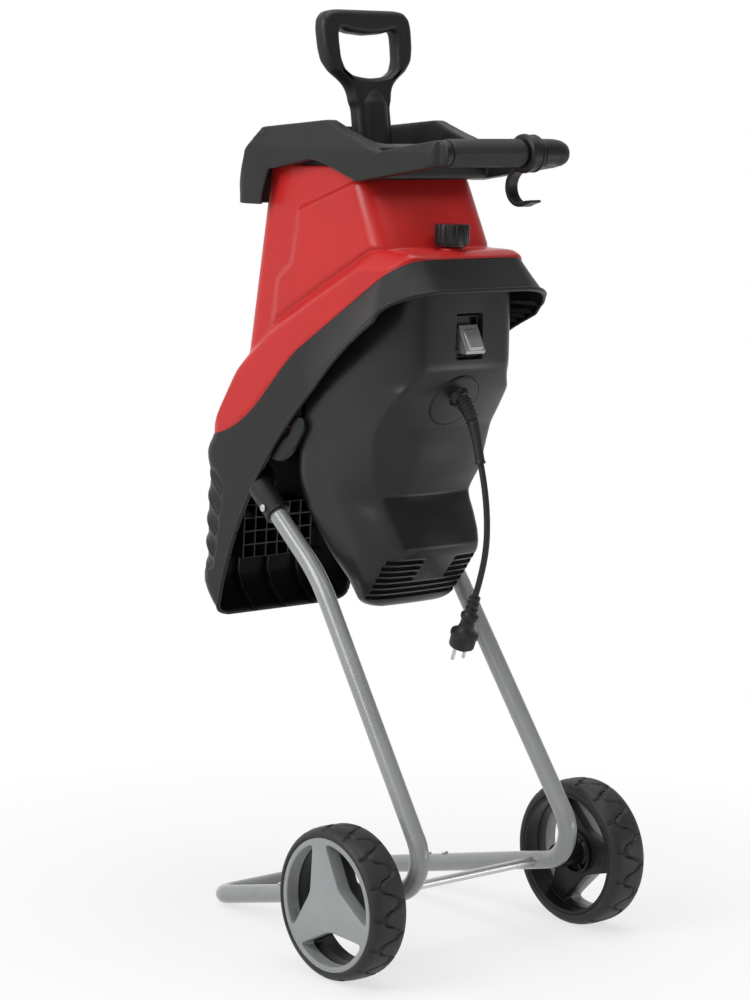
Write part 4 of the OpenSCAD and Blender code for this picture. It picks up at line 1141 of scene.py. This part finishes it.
# Wheels: a grey face and a dark core with three windows, and a tyre with a tread of lobes

AXLE_Y = -172
AXLE_Z = 100
WHEEL_IN = 184
WHEEL_OUT = 242
HUB_IN = 165
FACE_R = 87
FACE_T = 20
WINDOW_R = 79.5
WINDOW_TURN = math.radians(51)
WINDOW_IN = 34
SPOKE_TURN = {"left": math.radians(12), "right": math.radians(30)}
CORE_R = 83.5
CORE_IN = 206
WEB_T = 15
BORE_R = 8
RIM_BACK = WHEEL_OUT - FACE_T
RIM_SECTION = [(80, CORE_IN + 2), (79, WHEEL_IN + 1), (CORE_R, WHEEL_IN + 1), (CORE_R, RIM_BACK),
               (81, RIM_BACK)]
HUB = [(BORE_R, CORE_IN + 2), (BORE_R, HUB_IN), (15, HUB_IN), (16, HUB_IN + 1), (17.5, CORE_IN - 4),
       (21, CORE_IN - 1), (21, RIM_BACK), (BORE_R, RIM_BACK)]
HUB_RING = [(27, CORE_IN + 1), (27, CORE_IN - 7), (30, CORE_IN - 7), (30, CORE_IN + 1)]
HUB_RIB_HALF = 1.2
TYRE = [(87, 234), (84, 226), (84, 184), (91, 184), (94.5, 186), (97.5, 190), (99.3, 196), (100, 204),
        (100, 222), (99.3, 230), (97.5, 236), (94.5, 240), (91, 242), (87.6, 242), (87, 240)]
TREAD_N = 15
TREAD_DEPTH = 3.6
TYRE_STEPS = 360


def window(turn, shrink=0.0):
    """Outline of an opening in one direction: an arc closed by two sides that meet near the hub."""
    outer, inner = WINDOW_R - shrink, WINDOW_IN + shrink
    spread = WINDOW_TURN - shrink / outer
    points = [(inner, 0.0)]
    for i in range(33):
        a = lerp(-spread, spread, i / 32)
        points.append((outer * math.cos(a), outer * math.sin(a)))
    cos, sin = math.cos(turn), math.sin(turn)
    return [(u * sin + v * cos, u * cos - v * sin) for u, v in smooth_loop(points, 14)]


def tread(u, v):
    """Depth, from 0 to 1, of the grooves at a turn of u pitches and at v across the tread, from -1 to 1."""
    swing = math.sin(2 * math.pi * u)
    wave = abs(v - 0.45 * math.copysign(abs(swing) ** 0.6, swing))
    deep = 1 - ease((wave - 0.07) / 0.09)
    for side, centre in ((1, 0.25), (-1, 0.75)):
        if v * side > 0.4:
            away = abs((u - centre + 0.5) % 1 - 0.5)
            deep = max(deep, 1 - ease((away - 0.03) / 0.05))
    return deep


def add_wheel(name, side):
    body = "wheel_" + name
    middle = (WHEEL_IN + WHEEL_OUT) / 2
    half = (WHEEL_OUT - WHEEL_IN) / 2

    def at(y, z, x):
        return Vector((side * x, AXLE_Y + y, AXLE_Z + z))

    turns = [SPOKE_TURN[name] + math.radians(60 + 120 * i) for i in range(3)]
    face = plate([circle(FACE_R)] + [window(t) for t in turns], FACE_T, 1.4,
                 lambda y, z, x: at(y, z, RIM_BACK - 1 + x))
    piece("wheel_face_" + name, *face, body, WHEEL, ["face_" + name], solid=True)
    core = plate([circle(CORE_R), circle(BORE_R, 24)] + [window(t, 0.5) for t in turns], WEB_T, 1.2,
                 lambda y, z, x: at(y, z, CORE_IN + x))
    ribs = []
    for i in range(6):
        a = SPOKE_TURN[name] + math.radians(60 * i)
        along_r = Vector((math.sin(a), math.cos(a)))
        across = Vector((math.cos(a), -math.sin(a))) * HUB_RIB_HALF
        rows = []
        for r, top in ((17, CORE_IN - 6), (28, CORE_IN - 5)):
            p, q = along_r * r - across, along_r * r + across
            rows.append([at(*p, CORE_IN + 1), at(*p, top), at(*q, top), at(*q, CORE_IN + 1)])
        ribs.append(capped(rows))
    inner = join(core, lathe(RIM_SECTION, at, 96), lathe(HUB, at, 48), lathe(HUB_RING, at, 48), *ribs)
    piece("wheel_core_" + name, *inner, body, BLACK, ["rim_" + name], solid=True)
    section = smooth_loop(TYRE, 1)
    rows = []
    for i in range(TYRE_STEPS):
        a = 2 * math.pi * i / TYRE_STEPS
        row = []
        for r, x in section:
            v = (x - middle) / half
            sunk = TREAD_DEPTH * tread(TREAD_N * i / TYRE_STEPS, v) * ease((r - 94) / 4)
            row.append(at((r - sunk) * math.sin(a), (r - sunk) * math.cos(a), x))
        rows.append(row)
    tyre = grid(rows, looped=True)
    piece("tyre_skin_" + name, *tyre, body, RUBBER, ["tyre_" + name], sharp=60, solid=True)


# Floor, backdrop and lamps

FLOOR_HALF = 9.0
FLOOR_COLOUR = (0.86, 0.86, 0.86, 1)
FLOOR_ROUGH = 0.7
FLOOR_FADE = (0.3, 1.0, 0.7, 1.0)
WHITE = (1, 1, 1, 1)


def shown(tree, seen):
    """1 for a ray that shows the background, straight, mirrored or through glass."""
    total = seen.outputs["Is Camera Ray"]
    for other in ("Is Glossy Ray", "Is Transmission Ray"):
        either = node_of(tree, "ShaderNodeMath", operation="MAXIMUM")
        tree.links.new(total, either.inputs[0])
        tree.links.new(seen.outputs[other], either.inputs[1])
        total = either.outputs["Value"]
    return total


def add_floor():
    data = bpy.data.meshes.new("floor")
    square = ((-1, -1), (1, -1), (1, 1), (-1, 1))
    data.from_pydata([(x * FLOOR_HALF, y * FLOOR_HALF, 0) for x, y in square], [], [(0, 1, 2, 3)])
    floor = new_object("floor", data)
    made, tree, link, shader = new_material("pale_floor")
    shader.inputs["Base Color"].default_value = FLOOR_COLOUR
    shader.inputs["Roughness"].default_value = FLOOR_ROUGH
    bright = node_of(tree, "ShaderNodeEmission")
    bright.inputs["Color"].default_value = WHITE
    seen = tree.nodes.new("ShaderNodeLightPath")
    place = tree.nodes.new("ShaderNodeTexCoord")
    far = node_of(tree, "ShaderNodeVectorMath", operation="LENGTH")
    link(place.outputs["Object"], far.inputs[0])
    fade = ramp(tree, far.outputs["Value"], *FLOOR_FADE)
    share = node_of(tree, "ShaderNodeMath", operation="MULTIPLY")
    link(fade, share.inputs[0])
    link(shown(tree, seen), share.inputs[1])
    both = tree.nodes.new("ShaderNodeMixShader")
    link(share.outputs["Value"], both.inputs["Fac"])
    link(shader.outputs["BSDF"], both.inputs[1])
    link(bright.outputs["Emission"], both.inputs[2])
    link(both.outputs["Shader"], tree.nodes["Material Output"].inputs["Surface"])
    data.materials.append(made)


DARK_SIDE = (0.5, -0.84, 0.22)
WORLD_LIGHT = 0.36
WORLD_FALL = 0.15


def add_world():
    """Soft light that falls off towards one side, with a white background to look at."""
    world = bpy.data.worlds.new("studio")
    bpy.context.scene.world = world
    world.use_nodes = True
    tree = world.node_tree
    link = tree.links.new
    place = tree.nodes.new("ShaderNodeTexCoord")
    facing = node_of(tree, "ShaderNodeVectorMath", operation="DOT_PRODUCT")
    facing.inputs[1].default_value = DARK_SIDE
    link(place.outputs["Generated"], facing.inputs[0])
    seen = tree.nodes.new("ShaderNodeLightPath")
    layers = []
    for strength in (WORLD_LIGHT, 1.0):
        light = tree.nodes.new("ShaderNodeBackground")
        light.inputs["Color"].default_value = WHITE
        fall = ramp(tree, facing.outputs["Value"], -0.1, 0.9, strength, WORLD_FALL * strength)
        link(fall, light.inputs["Strength"])
        layers.append(light.outputs["Background"])
    white = tree.nodes.new("ShaderNodeBackground")
    white.inputs["Color"].default_value = WHITE
    layers.append(white.outputs["Background"])
    total = layers[0]
    for kind, layer in (("Is Glossy Ray", 1), ("Is Transmission Ray", 2), ("Is Camera Ray", 2)):
        both = tree.nodes.new("ShaderNodeMixShader")
        link(seen.outputs[kind], both.inputs["Fac"])
        link(total, both.inputs[1])
        link(layers[layer], both.inputs[2])
        total = both.outputs["Shader"]
    link(total, tree.nodes["World Output"].inputs["Surface"])


def add_lamp(name, place, aim, size, power):
    data = bpy.data.lights.new(name, "AREA")
    data.shape = "RECTANGLE"
    data.size, data.size_y = size
    data.energy = power
    lamp = new_object(name, data)
    lamp.location = place
    lamp.rotation_mode = "QUATERNION"
    lamp.rotation_quaternion = (Vector(aim) - Vector(place)).to_track_quat("-Z", "Y")


def add_lamps():
    middle = (0, 0, 0.65)
    add_lamp("key", (-2.6, 0.2, 2.3), middle, (1.6, 1.6), 58)
    add_lamp("top", (0.2, -0.4, 3.2), middle, (2.2, 2.2), 46)
    add_lamp("fill", (1.8, -2.6, 1.5), middle, (1.8, 1.8), 5)
    add_lamp("low", (1.3, -1.8, 0.2), middle, (1.4, 0.3), 6)


add_camera()
add_cord([add_gland(), add_plug(), NODES["plug_pins"]])
dress_nodes()
round_nodes()
soften_collar()
add_hopper()
add_hood()
add_plate()
add_cover()
add_switch()
add_plunger()
add_bar()
add_wheel("left", -1)
add_wheel("right", 1)
add_floor()
add_world()
add_lamps()
bpy.context.scene.view_settings.view_transform = "Standard"


def corners(pair):
    return [list(corner) for corner in pair]
